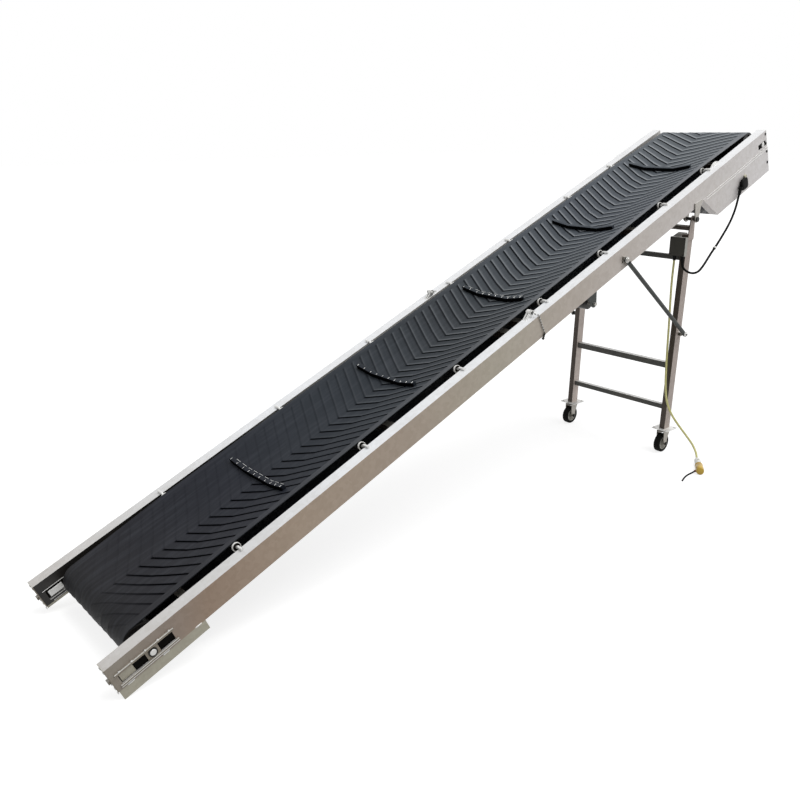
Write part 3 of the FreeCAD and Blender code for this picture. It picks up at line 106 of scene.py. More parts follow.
def turned(profile, spots, axis, sides):
    """A profile of (radius, height) turned about an axis, once at each spot.

    point = spot + axis * height + radius * (u * cos(angle) + v * sin(angle))
    """
    profile, spots, axis = np.asarray(profile, float), np.atleast_2d(spots), unit(axis)
    u = unit(np.cross(axis, [0.31, 0.86, 0.41]))
    v = np.cross(axis, u)
    angle = np.linspace(0, 2 * math.pi, sides, endpoint=False)
    ring = np.cos(angle)[:, None] * u + np.sin(angle)[:, None] * v
    shape = profile[:, 1, None, None] * axis + profile[:, 0, None, None] * ring
    points = spots[:, None, None, :] + shape
    faces = grid_faces(len(profile), sides, close_columns=True)
    shift = np.arange(len(spots))[:, None, None] * len(profile) * sides
    return points.reshape(-1, 3), (faces + shift).reshape(-1, 4)


def along(path, radius, sides, closed=False):
    """A round section carried along a path; radius may be one number or one for each point.

    point = path + radius * (side * cos(angle) + over * sin(angle)), side and over square to the run
    """
    path = np.asarray(path, float)
    run = np.roll(path, -1, 0) - np.roll(path, 1, 0) if closed else np.gradient(path, axis=0)
    run = unit(run)
    spread = path.max(0) - path.min(0)
    guide = np.eye(3)[int(np.argmin(spread))] + 1e-3
    side = unit(np.cross(run, guide))
    over = np.cross(side, run)
    angle = np.linspace(0, 2 * math.pi, sides, endpoint=False)
    radius = np.broadcast_to(radius, len(path))[:, None, None]
    ring = np.cos(angle)[:, None] * side[:, None, :] + np.sin(angle)[:, None] * over[:, None, :]
    points = path[:, None, :] + radius * ring
    if not closed:
        points = np.concatenate([np.repeat(path[:1, None], sides, 1), points,
                                 np.repeat(path[-1:, None], sides, 1)])
    faces = grid_faces(len(points), sides, close_rows=closed, close_columns=True)
    return points.reshape(-1, 3), faces


def piece(name, shape, material, body, smooth=35.0, stands_for=(), groove=None):
    """A mesh object from (points, faces): doubles merged, normals outwards, riding on a body.

    Edges sharper than smooth degrees stay sharp. groove gives each point a number from 0 to 1,
    which a finish can read as an attribute.
    """
    points, faces = shape
    mesh = bpy.data.meshes.new(name)
    mesh.from_pydata(np.reshape(points, (-1, 3)).tolist(), [], np.asarray(faces).tolist())
    if groove is not None:
        mesh.attributes.new("groove", "FLOAT", "POINT").data.foreach_set("value", np.ravel(groove))
    shell = bmesh.new()
    shell.from_mesh(mesh)
    bmesh.ops.remove_doubles(shell, verts=shell.verts, dist=1e-6)
    bmesh.ops.recalc_face_normals(shell, faces=shell.faces)
    shell.to_mesh(mesh)
    shell.free()
    mesh.polygons.foreach_set("use_smooth", np.ones(len(mesh.polygons), bool))
    mesh.set_sharp_from_angle(angle=math.radians(smooth))
    mesh.materials.append(material)
    made = bpy.data.objects.new(name, mesh)
    bpy.context.collection.objects.link(made)
    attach(made, body)
    if stands_for:
        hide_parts(*stands_for)
    print("%-24s %6d faces on %s" % (name, len(mesh.polygons), body))


print("a 4 by 6 ring has", len(grid_faces(4, 6, True, True)), "faces")

# %% [markdown]
# ## The sloping frame
# The beams lie at 22 degrees, so most places are easiest to give along the slope (s), across it (y)
# and square to it (n), from the beams' top tail corner. One function turns those into X, Y, Z.

# %% Places on the slope
SLOPE = math.radians(22.08)
TAIL = np.array([-1.91248, 0.0, 0.12788])
UP_SLOPE = np.array([math.cos(SLOPE), 0.0, math.sin(SLOPE)])
OFF_SLOPE = np.array([-math.sin(SLOPE), 0.0, math.cos(SLOPE)])
ACROSS = np.array([0.0, 1.0, 0.0])
SIDES = ((1, "left"), (-1, "right"))


def slope(s, y, n):
    """Points in metres from distances along, across and square to the slope, in millimetres."""
    s, y, n = np.broadcast_arrays(*(np.asarray(v, float) / 1000 for v in (s, y, n)))
    return TAIL + s[..., None] * UP_SLOPE + y[..., None] * ACROSS + n[..., None] * OFF_SLOPE


print("head end of the beams", slope(4033, 0, 0).round(3))

# %% [markdown]
# ## Colours and nodes
# Colours are written as sRGB hex values, as a paint card would give them, and turned to the linear
# values that shaders want. One helper adds a node, sets it and links it, whatever its kind. Sockets
# that share a name are reached by number. In a Map Range, 0 is the value, 1 and 2 are the range it
# comes from, and 3 and 4 the range it goes to. In a colour Mix, 0 is the share, 6 and 7 are the two
# colours, and output 2 is the result.

# %% Colour and node helpers
def paint(code):
    """Linear RGBA of an sRGB hex colour."""
    parts = [int(code[i:i + 2], 16) / 255 for i in (1, 3, 5)]
    linear = [c / 12.92 if c <= 0.04045 else ((c + 0.055) / 1.055) ** 2.4 for c in parts]
    return (*linear, 1.0)


def add(tree, kind, inputs=(), stops=(), **settings):
    """Add one node: inputs maps a socket to a value, a hex colour or an output to link.

    stops are a colour ramp's (spot, colour) pairs; its first and last come first.
    """
    made = tree.nodes.new("ShaderNode" + kind)
    for name, value in settings.items():
        setattr(made, name, value)
    for socket, value in dict(inputs).items():
        if isinstance(value, bpy.types.NodeSocket):
            tree.links.new(value, made.inputs[socket])
        else:
            made.inputs[socket].default_value = paint(value) if isinstance(value, str) else value
    for index, (spot, code) in enumerate(stops):
        ramp = made.color_ramp.elements
        stop = ramp[index] if index < 2 else ramp.new(spot)
        stop.position, stop.color = spot, paint(code)
    return made


def finish(name, roughness, metallic=0.0, **sockets):
    """A material with one principled shader, and its tree, shader and object coordinates."""
    material = bpy.data.materials.new(name)
    material.use_nodes = True
    tree = material.node_tree
    shader = tree.nodes["Principled BSDF"]
    shader.inputs["Roughness"].default_value = roughness
    shader.inputs["Metallic"].default_value = metallic
    for socket, value in sockets.items():
        shader.inputs[socket.replace("_", " ")].default_value = value
    place = add(tree, "TexCoord").outputs["Object"]
    return material, tree, shader, place


def relief(tree, shader, place, scale, strength, height, detail=2.0):
    """A fine grain in relief: scale grains to the metre, height metres deep."""
    grain = add(tree, "TexNoise", {"Vector": place, "Scale": scale, "Detail": detail}).outputs[0]
    bump = add(tree, "Bump", {"Height": grain, "Strength": strength, "Distance": height}).outputs[0]
    tree.links.new(bump, shader.inputs["Normal"])


print("white is", paint("#ffffff"))

# %% [markdown]
# ## Weathered steel, with painted light and shade
# Steel tube dipped in molten zinc freezes into large flat crystals, its spangle, which turn the
# light a little differently from one to the next. Old zinc is dull, so it is only partly metallic.
# The upper faces are painted paler than the sides, as light from above, and faces that look to
# the tail can be painted dark as shade. The sides are brown and darker towards the tail, near the
# floor. A picture wrapped round each tube would stretch at its ends, so a face takes its colour
# from the way it looks and from its place along the machine. One function serves all the steel
# pieces.

# %% Weathered steel with painted light and shade
TAIL_X, HEAD_X = -1.9, 1.9


def weathered_with_painted_light(name, upper, sides, roughness, metallic=0.2, crystals=65.0, streak=0.1, inside=None,
              rear=None):
    """Upper faces painted pale as light, sides from tail to head, zinc crystals and soft stains.

    upper, sides and inside are colour stops from tail to head; upper is the painted light of faces
    that look up. inside is painted light and shade on the left side's faces that look to the right,
    rear a painted shade on faces that look towards the tail. crystals is their number in a metre,
    and streak the strength of the stains.
    """
    material, tree, shader, place = finish(name, roughness, metallic)
    turn = add(tree, "SeparateXYZ", {0: add(tree, "TexCoord").outputs["Normal"]})
    axes = add(tree, "SeparateXYZ", {0: place})
    length = add(tree, "MapRange", {0: axes.outputs["X"], 1: TAIL_X, 2: HEAD_X}).outputs[0]
    side = add(tree, "ValToRGB", {0: length}, sides).outputs[0]
    # the inside stops paint light and shade on the left side's faces that look right
    if inside:
        inner = add(tree, "ValToRGB", {0: length}, inside).outputs[0]
        beyond = add(tree, "MapRange", {0: axes.outputs["Y"], 1: 0.0, 2: 0.01}).outputs[0]
        facing = add(tree, "MapRange", {0: turn.outputs["Y"], 1: -0.6, 2: -0.9}).outputs[0]
        share = add(tree, "Math", {0: beyond, 1: facing}, operation="MULTIPLY").outputs[0]
        side = add(tree, "Mix", {0: share, 6: side, 7: inner}, data_type="RGBA").outputs[2]
    # the rear colour is painted shade on faces that look towards the tail
    if rear:
        share = add(tree, "MapRange", {0: turn.outputs["X"], 1: -0.5, 2: -0.75}).outputs[0]
        side = add(tree, "Mix", {0: share, 6: side, 7: rear}, data_type="RGBA").outputs[2]
    # the upper stops are painted light on faces that look up
    over = add(tree, "ValToRGB", {0: length}, upper).outputs[0]
    share = add(tree, "MapRange", {0: turn.outputs["Z"], 1: 0.3, 2: 0.75}).outputs[0]
    base = add(tree, "Mix", {0: share, 6: side, 7: over}, data_type="RGBA").outputs[2]
    cells = add(tree, "TexVoronoi", {"Vector": place, "Scale": crystals}).outputs["Color"]
    spangle = add(tree, "SeparateColor", {0: cells}).outputs[0]
    share = add(tree, "MapRange", {0: spangle, 3: 0.0, 4: 0.5}).outputs[0]
    base = add(tree, "Mix", {0: share, 6: base, 7: "#eeece9"}, data_type="RGBA",
               blend_type="MULTIPLY").outputs[2]
    clouds = add(tree, "TexNoise", {"Vector": place, "Scale": 7.0, "Detail": 5.0}).outputs[0]
    share = add(tree, "MapRange", {0: clouds, 1: 0.5, 2: 0.8, 4: streak}).outputs[0]
    base = add(tree, "Mix", {0: share, 6: base, 7: "#7a7066"}, data_type="RGBA").outputs[2]
    tree.links.new(base, shader.inputs["Base Color"])
    rough = {0: spangle, 3: roughness - 0.05, 4: roughness + 0.05}
    tree.links.new(add(tree, "MapRange", rough).outputs[0], shader.inputs["Roughness"])
    relief(tree, shader, place, 700.0, 0.2, 0.0002)
    return material


print("steel finishes can be made")

# %% [markdown]
# ## Eight steel finishes
# Steel pieces are galvanised, plated, drawn or painted, each with its own shine and pattern. Old
# outdoor steel is matt, so roughness stays near a half, except on the small bright fittings. In
# every one the upper colour is painted light, and a rear colour, where given, painted shade.

# %% Steel finishes
# The beams: crystals 15 mm across, painted pale on top as light, brown and darker towards the
# tail, and painted near black as shade on the left beam's inner faces at the tail, pale as light
# at the head. Faces that look to the tail are painted dark as shade.
galvanised_tube = weathered_with_painted_light(
    "hot-dip galvanised tube",
    [(0.0, "#ccc9c6"), (1.0, "#fbfcfe"), (0.12, "#dcdcdc"), (0.25, "#f3f5f8")],
    [(0.0, "#928b80"), (1.0, "#e6e3e3"), (0.05, "#93867b"), (0.09, "#9c8775"), (0.19, "#b3a18f"),
     (0.31, "#b2a394"), (0.44, "#b8b0a1"), (0.56, "#c1b7ad")], 0.45, rear="#5a5652",
    inside=[(0.0, "#1c1a18"), (1.0, "#d8d6d3"), (0.22, "#2e2b28"), (0.4, "#c9c6c2")])
# Cut plates: the same zinc, with finer crystals and a little more shine.
# faces that look to the tail, such as the tail's end plates, are painted dark as shade
galvanised_plate = weathered_with_painted_light(
    "galvanised plate", [(0.0, "#c6c3bb"), (1.0, "#e4e5e3")], [(0.0, "#857d70"), (1.0, "#cdc9c2")],
    0.4, metallic=0.35, crystals=90.0, streak=0.2, rear="#4a463c")
# The tail feet: a chromate dip over the zinc leaves an olive cast.
# the feet's faces that look to the tail are painted dark as shade
chromated_plate = weathered_with_painted_light(
    "chromated steel plate", [(0.0, "#c4c0a8"), (1.0, "#d0cdb8")],
    [(0.0, "#a6a293"), (1.0, "#b9b5a2")], 0.4, metallic=0.4, crystals=110.0, streak=0.25,
    rear="#55503f")
# The leg frame: dull brownish zinc; the left leg's faces that look right are painted paler as
# light, and faces that look to the tail are painted dark as shade.
galvanised_legs = weathered_with_painted_light(
    "dull galvanised leg tube", [(0.0, "#b9b5ac"), (1.0, "#c5c0b8")],
    [(0.0, "#a79b93"), (1.0, "#b8aca5")], 0.5, metallic=0.15, crystals=80.0, streak=0.2,
    rear="#4a4038", inside=[(0.0, "#ddd0c8"), (1.0, "#ddd0c8")])
# The legs' cross bars: sides painted dark grey as shade, tops painted near white as light.
dark_steel = weathered_with_painted_light(
    "steel bar with painted light and shade", [(0.0, "#f2f2f0"), (1.0, "#f8f8f6")], [(0.0, "#4a4a46"), (1.0, "#4a4a46")],
    0.5, metallic=0.15, crystals=80.0, streak=0.2)
# Shafts, nuts and weld beads: drawn or bare steel, the brightest metal, with hardly a pattern.
shaft_steel = weathered_with_painted_light(
    "bright drawn steel shaft", [(0.0, "#f0f0ee"), (1.0, "#f8f8f6")],
    [(0.0, "#e2e2e0"), (1.0, "#f2f2f0")], 0.32, metallic=0.3, crystals=240.0, streak=0.05)
# Small fittings: a thin electroplated coat, smooth and more like a mirror.
zinc_plated = weathered_with_painted_light(
    "bright zinc-plated steel", [(0.0, "#d0d0cc"), (1.0, "#e4e4e1")],
    [(0.0, "#b2b0aa"), (1.0, "#cfcdc8")], 0.28, metallic=0.6, crystals=240.0, streak=0.05)
# The control box: grey stoving paint with a soft shine and no crystals to speak of. Its top is
# painted lighter as light from above, and its front, which looks to the tail, dark as shade.
painted_steel = weathered_with_painted_light(
    "painted steel box", [(0.0, "#cacac5"), (1.0, "#cacac5")], [(0.0, "#acaca6"), (1.0, "#acaca6")],
    0.45, metallic=0.05, crystals=200.0, streak=0.1, rear="#45433c")
print("eight steel finishes made")

# %% [markdown]
# ## Belt rubber
# A conveyor belt is vulcanised rubber on woven plies, dark and matt. This one is near black at the
# low end and greyer towards the high end; its grooves are painted black as shade, and the lip
# beside each is painted pale as a highlight. The belt's own mesh says where its grooves are,
# through an attribute, so the colour can't slide off them.

# %% Belt rubber
def belt_finish():
    """Rubber, greyer to the head, grooves painted black as shade, lips painted pale as highlights.

    The groove attribute is 0.5 on plain rubber, 1 in a groove and 0 on a lip with a painted
    highlight. rim is a mask across the belt for its two frayed edges.
    """
    material, tree, shader, place = finish("vulcanised belt rubber", 0.6)
    axes = add(tree, "SeparateXYZ", {0: place})
    tail_to_head = add(tree, "MapRange", {0: axes.outputs["X"], 1: TAIL_X, 2: HEAD_X}).outputs[0]
    grey = add(tree, "ValToRGB", {0: tail_to_head}, [
        (0.02, "#050508"), (1.0, "#60666b"), (0.05, "#121218"), (0.17, "#151821"),
        (0.32, "#22282f"), (0.49, "#2b3035"), (0.61, "#41474d"), (0.75, "#454b53")]).outputs[0]
    stretched = add(tree, "Mapping", {0: place, "Scale": (2.0, 22.0, 2.0)}).outputs[0]
    streaks = add(tree, "TexNoise", {"Vector": stretched, "Scale": 3.0, "Detail": 4.0}).outputs[0]
    share = add(tree, "MapRange", {0: streaks, 1: 0.45, 2: 0.8, 4: 0.15}).outputs[0]
    base = add(tree, "Mix", {0: share, 6: grey, 7: "#5c6069"}, data_type="RGBA").outputs[2]
    groove = add(tree, "Attribute", attribute_name="groove").outputs["Fac"]
    # the pale lip colour is a painted highlight, stronger towards the head
    lip_highlight = add(tree, "MapRange", {0: groove, 1: 0.5, 2: 0.0}).outputs[0]
    highlight_towards_head = add(tree, "MapRange", {0: tail_to_head, 1: 0.25, 2: 1.0, 4: 0.8}).outputs[0]
    lip_highlight = add(tree, "Math", {0: lip_highlight, 1: highlight_towards_head}, operation="MULTIPLY").outputs[0]
    base = add(tree, "Mix", {0: lip_highlight, 6: base, 7: "#c4c9ce"}, data_type="RGBA").outputs[2]
    # grooves are painted near black as shade
    share = add(tree, "MapRange", {0: groove, 1: 0.5, 2: 1.0, 4: 0.97}).outputs[0]
    base = add(tree, "Mix", {0: share, 6: base, 7: "#050506"}, data_type="RGBA").outputs[2]
    gloss = add(tree, "MapRange", {0: groove, 1: 0.5, 2: 0.9, 3: 0.2, 4: 0.0}).outputs[0]
    tree.links.new(gloss, shader.inputs["Specular IOR Level"])
    edge = add(tree, "MapRange", {0: axes.outputs["Y"], 1: -0.26, 2: 0.26}).outputs[0]
    rim = add(tree, "ValToRGB", {0: edge}, [
        (0.0, "#e0e0e0"), (1.0, "#909090"), (0.017, "#d0d0d0"), (0.021, "#c0c0c0"),
        (0.06, "#b4b4b4"), (0.066, "#000000"), (0.95, "#000000"), (0.99, "#606060")]).outputs[0]
    bleached = add(tree, "MapRange", {0: tail_to_head, 1: 0.1, 2: 0.9, 3: 0.06}).outputs[0]
    rim = add(tree, "Math", {0: rim, 1: bleached}, operation="MULTIPLY").outputs[0]
    base = add(tree, "Mix", {0: rim, 6: base, 7: "#94969a"}, data_type="RGBA").outputs[2]
    tree.links.new(base, shader.inputs["Base Color"])
    relief(tree, shader, place, 450.0, 0.3, 0.0004, 3.0)
    return material


belt_rubber = belt_finish()
print("made", belt_rubber.name)

# %% [markdown]
# ## Plain finishes
# The small pieces are one colour each. Real ones are never quite even, so two close colours lie in
# soft patches some 30 mm wide, with a fine grain in relief that breaks up the shine. Dusty black
# rubber and nylon hardly shine, so their specular level is low.

# %% Plain finishes
def plain(name, light, dark, roughness, metallic=0.0, **sockets):
    """Two close colours in soft patches, and a fine grain in relief."""
    material, tree, shader, place = finish(name, roughness, metallic, **sockets)
    clouds = add(tree, "TexNoise", {"Vector": place, "Scale": 30.0, "Detail": 4.0}).outputs[0]
    share = add(tree, "MapRange", {0: clouds, 1: 0.35, 2: 0.7}).outputs[0]
    base = add(tree, "Mix", {0: share, 6: light, 7: dark}, data_type="RGBA").outputs[2]
    tree.links.new(base, shader.inputs["Base Color"])
    relief(tree, shader, place, 600.0, 0.3, 0.0002)
    return material


# Rollers in a black rubber sleeve, and the tyres, which are duller from the floor's dust.
roller_rubber = plain("black lagged roller tube", "#1b1c1f", "#121315", 0.5)
tyre_rubber = plain("moulded tyre rubber", "#0f0e0d", "#090807", 0.7, Specular_IOR_Level=0.1)
# Waxy white rings and the casters' greyish hubs, both moulded with a soft shine.
polyethylene = plain("white polyethylene", "#f4f4f1", "#e2e1dc", 0.35)
hub_plastic = plain("moulded polypropylene hub", "#b5b3aa", "#9d9b93", 0.4)
# Drums rubbed bare by the belt, dark grey struts, the hangers below in that dark grey as painted
# shade, and bolts blackened in hot oxide.
drum_steel = plain("bare drum steel", "#4a4846", "#353433", 0.4, 0.7)
strut_steel = plain("dark grey strut steel", "#454846", "#373a38", 0.5, 0.3)
dark_bolt = plain("black oxide steel", "#33322f", "#242321", 0.35, 0.6)
# Black fittings: matt nylon, the cable's PVC, and grease, which swallows the light. The same
# black is also used as painted shade in the tail windows and the head slot.
gland_nylon = plain("black nylon", "#0d0d0d", "#080808", 0.6, Specular_IOR_Level=0.12)
black_jacket = plain("black PVC cable jacket", "#090a09", "#050605", 0.6, Specular_IOR_Level=0.08)
grease_and_shade = plain("black grease", "#0c0b09", "#070605", 0.7, Specular_IOR_Level=0.05)
# The connector: glossy yellow ABS, a white nylon cap and a boss of red-brown phenolic resin.
yellow_shell = plain("yellow moulded ABS", "#dfba42", "#b58d33", 0.28)
white_cap = plain("white nylon cap", "#eeeee8", "#dcdcd4", 0.3)
red_boss = plain("red-brown phenolic boss", "#8a4a33", "#6e3826", 0.4)
print("plain finishes made")

# %% [markdown]
# ## Giving the CAD pieces their finishes
# A CAD piece keeps its shape and place; only its material slots are filled. The start of a name is
# enough to find its finish, and whatever isn't listed is galvanised tube.

# %% Finishes on the CAD pieces
DRESS = {
    chromated_plate: ["tail_foot"],
    galvanised_plate: ["tail_end_plate", "take_up", "head_end", "caster_fork", "strut_brackets",
                       "strut_lugs", "leg_hinge_plates"],
    galvanised_legs: ["leg_left", "leg_right", "leg_ears", "leg_top", "cross_members"],
    dark_steel: ["leg_cross"],
    strut_steel: ["strut_left", "strut_right", "return_hangers"],
    shaft_steel: ["trough_shafts", "fold_hinges", "beam_lug", "caster_plates"],
    dark_bolt: ["leg_hinge_bolts"],
    zinc_plated: ["return_shaft", "lock_pin"],
    drum_steel: ["head_drum", "tail_drum", "return_rollers"],
    belt_rubber: ["conveyor_belt"],
    roller_rubber: ["trough_rollers"],
    tyre_rubber: ["caster_tyre"],
    hub_plastic: ["caster_hub"],
    painted_steel: ["control_box"],
    gland_nylon: ["box_glands", "terminal_box"],
    yellow_shell: ["cord_connector"],
    black_jacket: ["wire_end"],
}
dressed = {name: galvanised_tube for name in nodes}
for material, starts in DRESS.items():
    dressed.update({name: material for name in nodes for start in starts if name.startswith(start)})
for name, node in nodes.items():
    for index in range(len(node.material_slots)):
        node.material_slots[index].material = dressed[name]
print(len(dressed), "CAD pieces dressed")

# %% [markdown]
# ## The three cords
# A free cord is a smooth curve that hangs from its gland and lies on the floor. Each is a NURBS
# spline drawn by its route's control points: the motor cable, the yellow-green supply cord and the
# short dark wire at the connector. The order is set after the points, or it would stay straight.

# %% Cord curves
def cord_finish():
    """PVC jacket of an earth-coloured cord: pale yellow, with painted olive shade on one side."""
    material, tree, shader, place = finish("yellow-green PVC jacket", 0.35)
    axes = add(tree, "SeparateXYZ", {0: add(tree, "TexCoord").outputs["Normal"]})
    # faces that look towards the head are painted olive as shade
    share = add(tree, "MapRange", {0: axes.outputs["X"], 1: -0.6, 2: 0.7}).outputs[0]
    base = add(tree, "Mix", {0: share, 6: "#e6e09a", 7: "#9aa04a"}, data_type="RGBA").outputs[2]
    clouds = add(tree, "TexNoise", {"Vector": place, "Scale": 60.0, "Detail": 3.0}).outputs[0]
    share = add(tree, "MapRange", {0: clouds, 1: 0.4, 2: 0.7, 4: 0.25}).outputs[0]
    base = add(tree, "Mix", {0: share, 6: base, 7: "#8d8a4c"}, data_type="RGBA").outputs[2]
    tree.links.new(base, shader.inputs["Base Color"])
    relief(tree, shader, place, 500.0, 0.15, 0.0002)
    return material


yellow_jacket = cord_finish()
MOTOR_ROUTE = [
    (1.17267, -0.311, 1.037), (1.17267, -0.311, 1.009), (1.17115, -0.32504, 0.98549),
    (1.17764, -0.34706, 0.96999), (1.19714, -0.36507, 0.96449), (1.22563, -0.37509, 0.97048),
    (1.26612, -0.37411, 0.99198), (1.31811, -0.36763, 1.02497), (1.3681, -0.36215, 1.05897),
    (1.41209, -0.35917, 1.08747), (1.45808, -0.35569, 1.12196), (1.50557, -0.35421, 1.16346),
    (1.54356, -0.35422, 1.20796), (1.57155, -0.35424, 1.25795), (1.58546, -0.35428, 1.30584),
    (1.59274, -0.35428, 1.33394),
]
POWER_ROUTE = [
    (1.17267, -0.267, 1.037), (1.17267, -0.267, 1.003), (1.16667, -0.269, 0.945),
    (1.15867, -0.275, 0.865), (1.15417, -0.282, 0.775), (1.15117, -0.288, 0.675),
    (1.14867, -0.293, 0.572), (1.14617, -0.299, 0.47), (1.14317, -0.307, 0.372),
    (1.14567, -0.321, 0.288), (1.16017, -0.347, 0.222), (1.18417, -0.377, 0.168),
    (1.20117, -0.414, 0.12), (1.21387, -0.4469, 0.0792), (1.21317, -0.4693, 0.0537),
    (1.20197, -0.4904, 0.0326), (1.18037, -0.5069, 0.02), (1.15737, -0.5229, 0.02),
]
WIRE_ROUTE = [
    (1.02097, -0.59, 0.013), (1.00298, -0.5855, 0.00766), (0.97797, -0.581, 0.005),
    (0.94997, -0.583, 0.0043), (0.92087, -0.58919, 0.0041), (0.89347, -0.598, 0.0041),
]


def cord_curve(name, route, diameter, material, node):
    """A round-section NURBS curve along a route's control points, in place of the CAD tube."""
    curve = bpy.data.curves.new(name, "CURVE")
    curve.dimensions = "3D"
    curve.bevel_depth = diameter / 2
    curve.bevel_resolution = 5
    curve.resolution_u = 16
    curve.use_fill_caps = True
    spline = curve.splines.new("NURBS")
    spline.points.add(len(route) - 1)
    spline.points.foreach_set("co", np.c_[np.array(route), np.ones(len(route))].ravel())
    spline.order_u = 3
    spline.use_endpoint_u = True
    curve.materials.append(material)
    made = bpy.data.objects.new(name, curve)
    bpy.context.collection.objects.link(made)
    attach(made, "leg_frame")
    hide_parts(node)
    return made


motor_cable = cord_curve("motor_cable_jacket", MOTOR_ROUTE, 0.011, black_jacket, "motor_cable")
power_cord = cord_curve("supply_cord_jacket", POWER_ROUTE, 0.011, yellow_jacket, "power_cord")
tail_wire = cord_curve("tail_wire_jacket", WIRE_ROUTE, 0.008, black_jacket, "tail_wire")
print("three cords")

# %% [markdown]
# ## The belt
# The belt is one endless loop 5 mm thick: a troughed run up the slope, half a turn round each drum,
# and a flat run back. Its grooves make chevrons that point to the tail, 49 mm apart, and stop short
# of a plain strip along each edge. A picture of grooves would look flat from the side, so they are
# cut: the surface is a grid of distance round the loop and place across it, with grid lines on the
# groove's edges. The CAD belt is plain, so this piece stands for it.

# %% The loop as a function
TAIL_AXIS, HEAD_AXIS, RING = 142.0, 3993.0, 62.0
RUN, TURN = HEAD_AXIS - TAIL_AXIS, math.pi * RING
LOOP = 2 * (RUN + TURN)
IDLERS = np.array([548, 1135, 1665, 2204, 2645, 3138, 3530], float)    # the roller sets
WING = math.radians(12.5)           # tilt of the trough's sides
FLAT, SUNK = 85, 24                 # half width of its flat middle, and how low that lies
RETURN_ROLLER, RETURN_SAG = 2480, 135


def on_belt(u, y, lift):
    """Points at u round the loop, y across and lift off its outer face, all in millimetres.

    Carrying run: n = trough + lift. Half turns: radius = RING + lift. Return run: n = -sag - lift.
    """
    u, y, lift = np.broadcast_arrays(np.asarray(u, float) % LOOP, y, lift)
    s = TAIL_AXIS + u
    depth = np.interp(s, [TAIL_AXIS, IDLERS[0], IDLERS[-1], HEAD_AXIS], [0, 1, 1, 0])
    trough = depth * (np.maximum(np.abs(y) - FLAT, 0) * math.tan(WING) - SUNK)
    back = HEAD_AXIS - (u - RUN - TURN)
    sag = np.interp(back, [TAIL_AXIS, RETURN_ROLLER, HEAD_AXIS], [2 * RING, RETURN_SAG, 2 * RING])
    head_turn, tail_turn = (u - RUN) / RING, (u - 2 * RUN - TURN) / RING
    where = [u < RUN, u < RUN + TURN, u < 2 * RUN + TURN]
    radius = RING + lift
    along_slope = np.select(where, [s, HEAD_AXIS + radius * np.sin(head_turn), back],
                            TAIL_AXIS - radius * np.sin(tail_turn))
    square = np.select(where, [trough + lift, -RING + radius * np.cos(head_turn), -sag - lift],
                       -RING - radius * np.cos(tail_turn))
    return slope(along_slope, y, square)


print("the loop is %.2f m long" % (LOOP / 1000))

# %% [markdown]
# ## The chevrons
# The grid lines in marks, in millimetres, are repeated for each chevron. tones says what lies at
# each: 1 is a groove, painted black as shade, -1 the lip beside it, painted pale as a highlight,
# 0 plain rubber. Every column is shifted up the slope by its distance from the middle, which bends
# straight grooves into chevrons. Near the tail the left arms' grooves are shallower and their
# painted shade fades, standing for light that falls on their walls there.

# %% Chevron grooves
CHEVRONS = 165
STEP = LOOP / CHEVRONS
LEAN = 0.585                        # shift up the slope for each millimetre away from the middle
GROOVE_DEPTH = 3.0
ARM = 226.5                         # a groove's reach to either side
EDGE = 255                          # half the belt's width
marks = np.array([0, 1.5, 8.5, 10, 13, 21, 30, 40.0])
# tones below 0 paint a highlight on the lip, above 0 shade in the groove
tones = np.array([0.3, 1, 1, 0.1, -1.0, -0.2, 0, 0])
half = np.array([0, 6, 40, 85, 140, 190, 226, 227.5, 253.6, EDGE])
across = np.concatenate([-half[:0:-1], half])
under = np.array([EDGE, 253.6, 85, -85, -253.6, -EDGE])
columns = np.concatenate([across, under])
rounds = (np.arange(CHEVRONS)[:, None] * STEP + marks).ravel()
travel = rounds[:, None] + LEAN * np.minimum(np.abs(columns), 227)
ribbed = (np.arange(len(columns)) < len(across)) & (np.abs(columns) < ARM)
from_tail = (travel + LOOP / 2) % LOOP - LOOP / 2
# fade paints light into the left arms near the tail: fainter shade and shallower grooves
fade = np.where(columns > 0, np.interp(np.abs(from_tail), [800, 2500], [0.1, 0.85]), 1.0)
fade = fade * np.interp(from_tail, [-600, -250, 0, 180], [1, 0.1, 0.2, 1])
tone = np.tile(tones, CHEVRONS)[:, None] * ribbed * fade
under_lift = np.concatenate([-1.0 * (np.abs(across) == EDGE), [-4, -5, -5, -5, -5, -4]])
groove_lift = GROOVE_DEPTH * np.maximum(tone, 0) * (tone > 0.5 * fade)
belt_points = on_belt(travel, columns, under_lift - groove_lift)
piece("chevron_belt", (belt_points, grid_faces(len(rounds), len(columns), True, True)),
      belt_rubber, "frame", 25.0, ["conveyor_belt"], 0.5 + 0.5 * tone)
print("chevrons are %.1f mm apart" % STEP)

# %% [markdown]
# ## Cleats
# Rubber bars are moulded across the belt so that goods don't slide back. Each is a square section
# carried across the trough, with a small chamfer. Its face towards the tail is painted black
# as shade.
# Steel staples hold the lower ones to the plies below, every 38 mm, and are short bent rods.

# %% Cleats and their staples
CLEAT_STEP, STAPLE_STEP = 684.4, 38.0
first_cleats = 821 - TAIL_AXIS + np.arange(5) * CLEAT_STEP
hidden_step = (LOOP - 4 * CLEAT_STEP) / 6
cleats_at = np.concatenate([first_cleats, first_cleats[-1] + hidden_step * np.arange(1, 6)])
section = np.array([(-10, -2), (-10, 16.5), (-8.5, 18), (8.5, 18), (10, 16.5), (10, -2)], float)
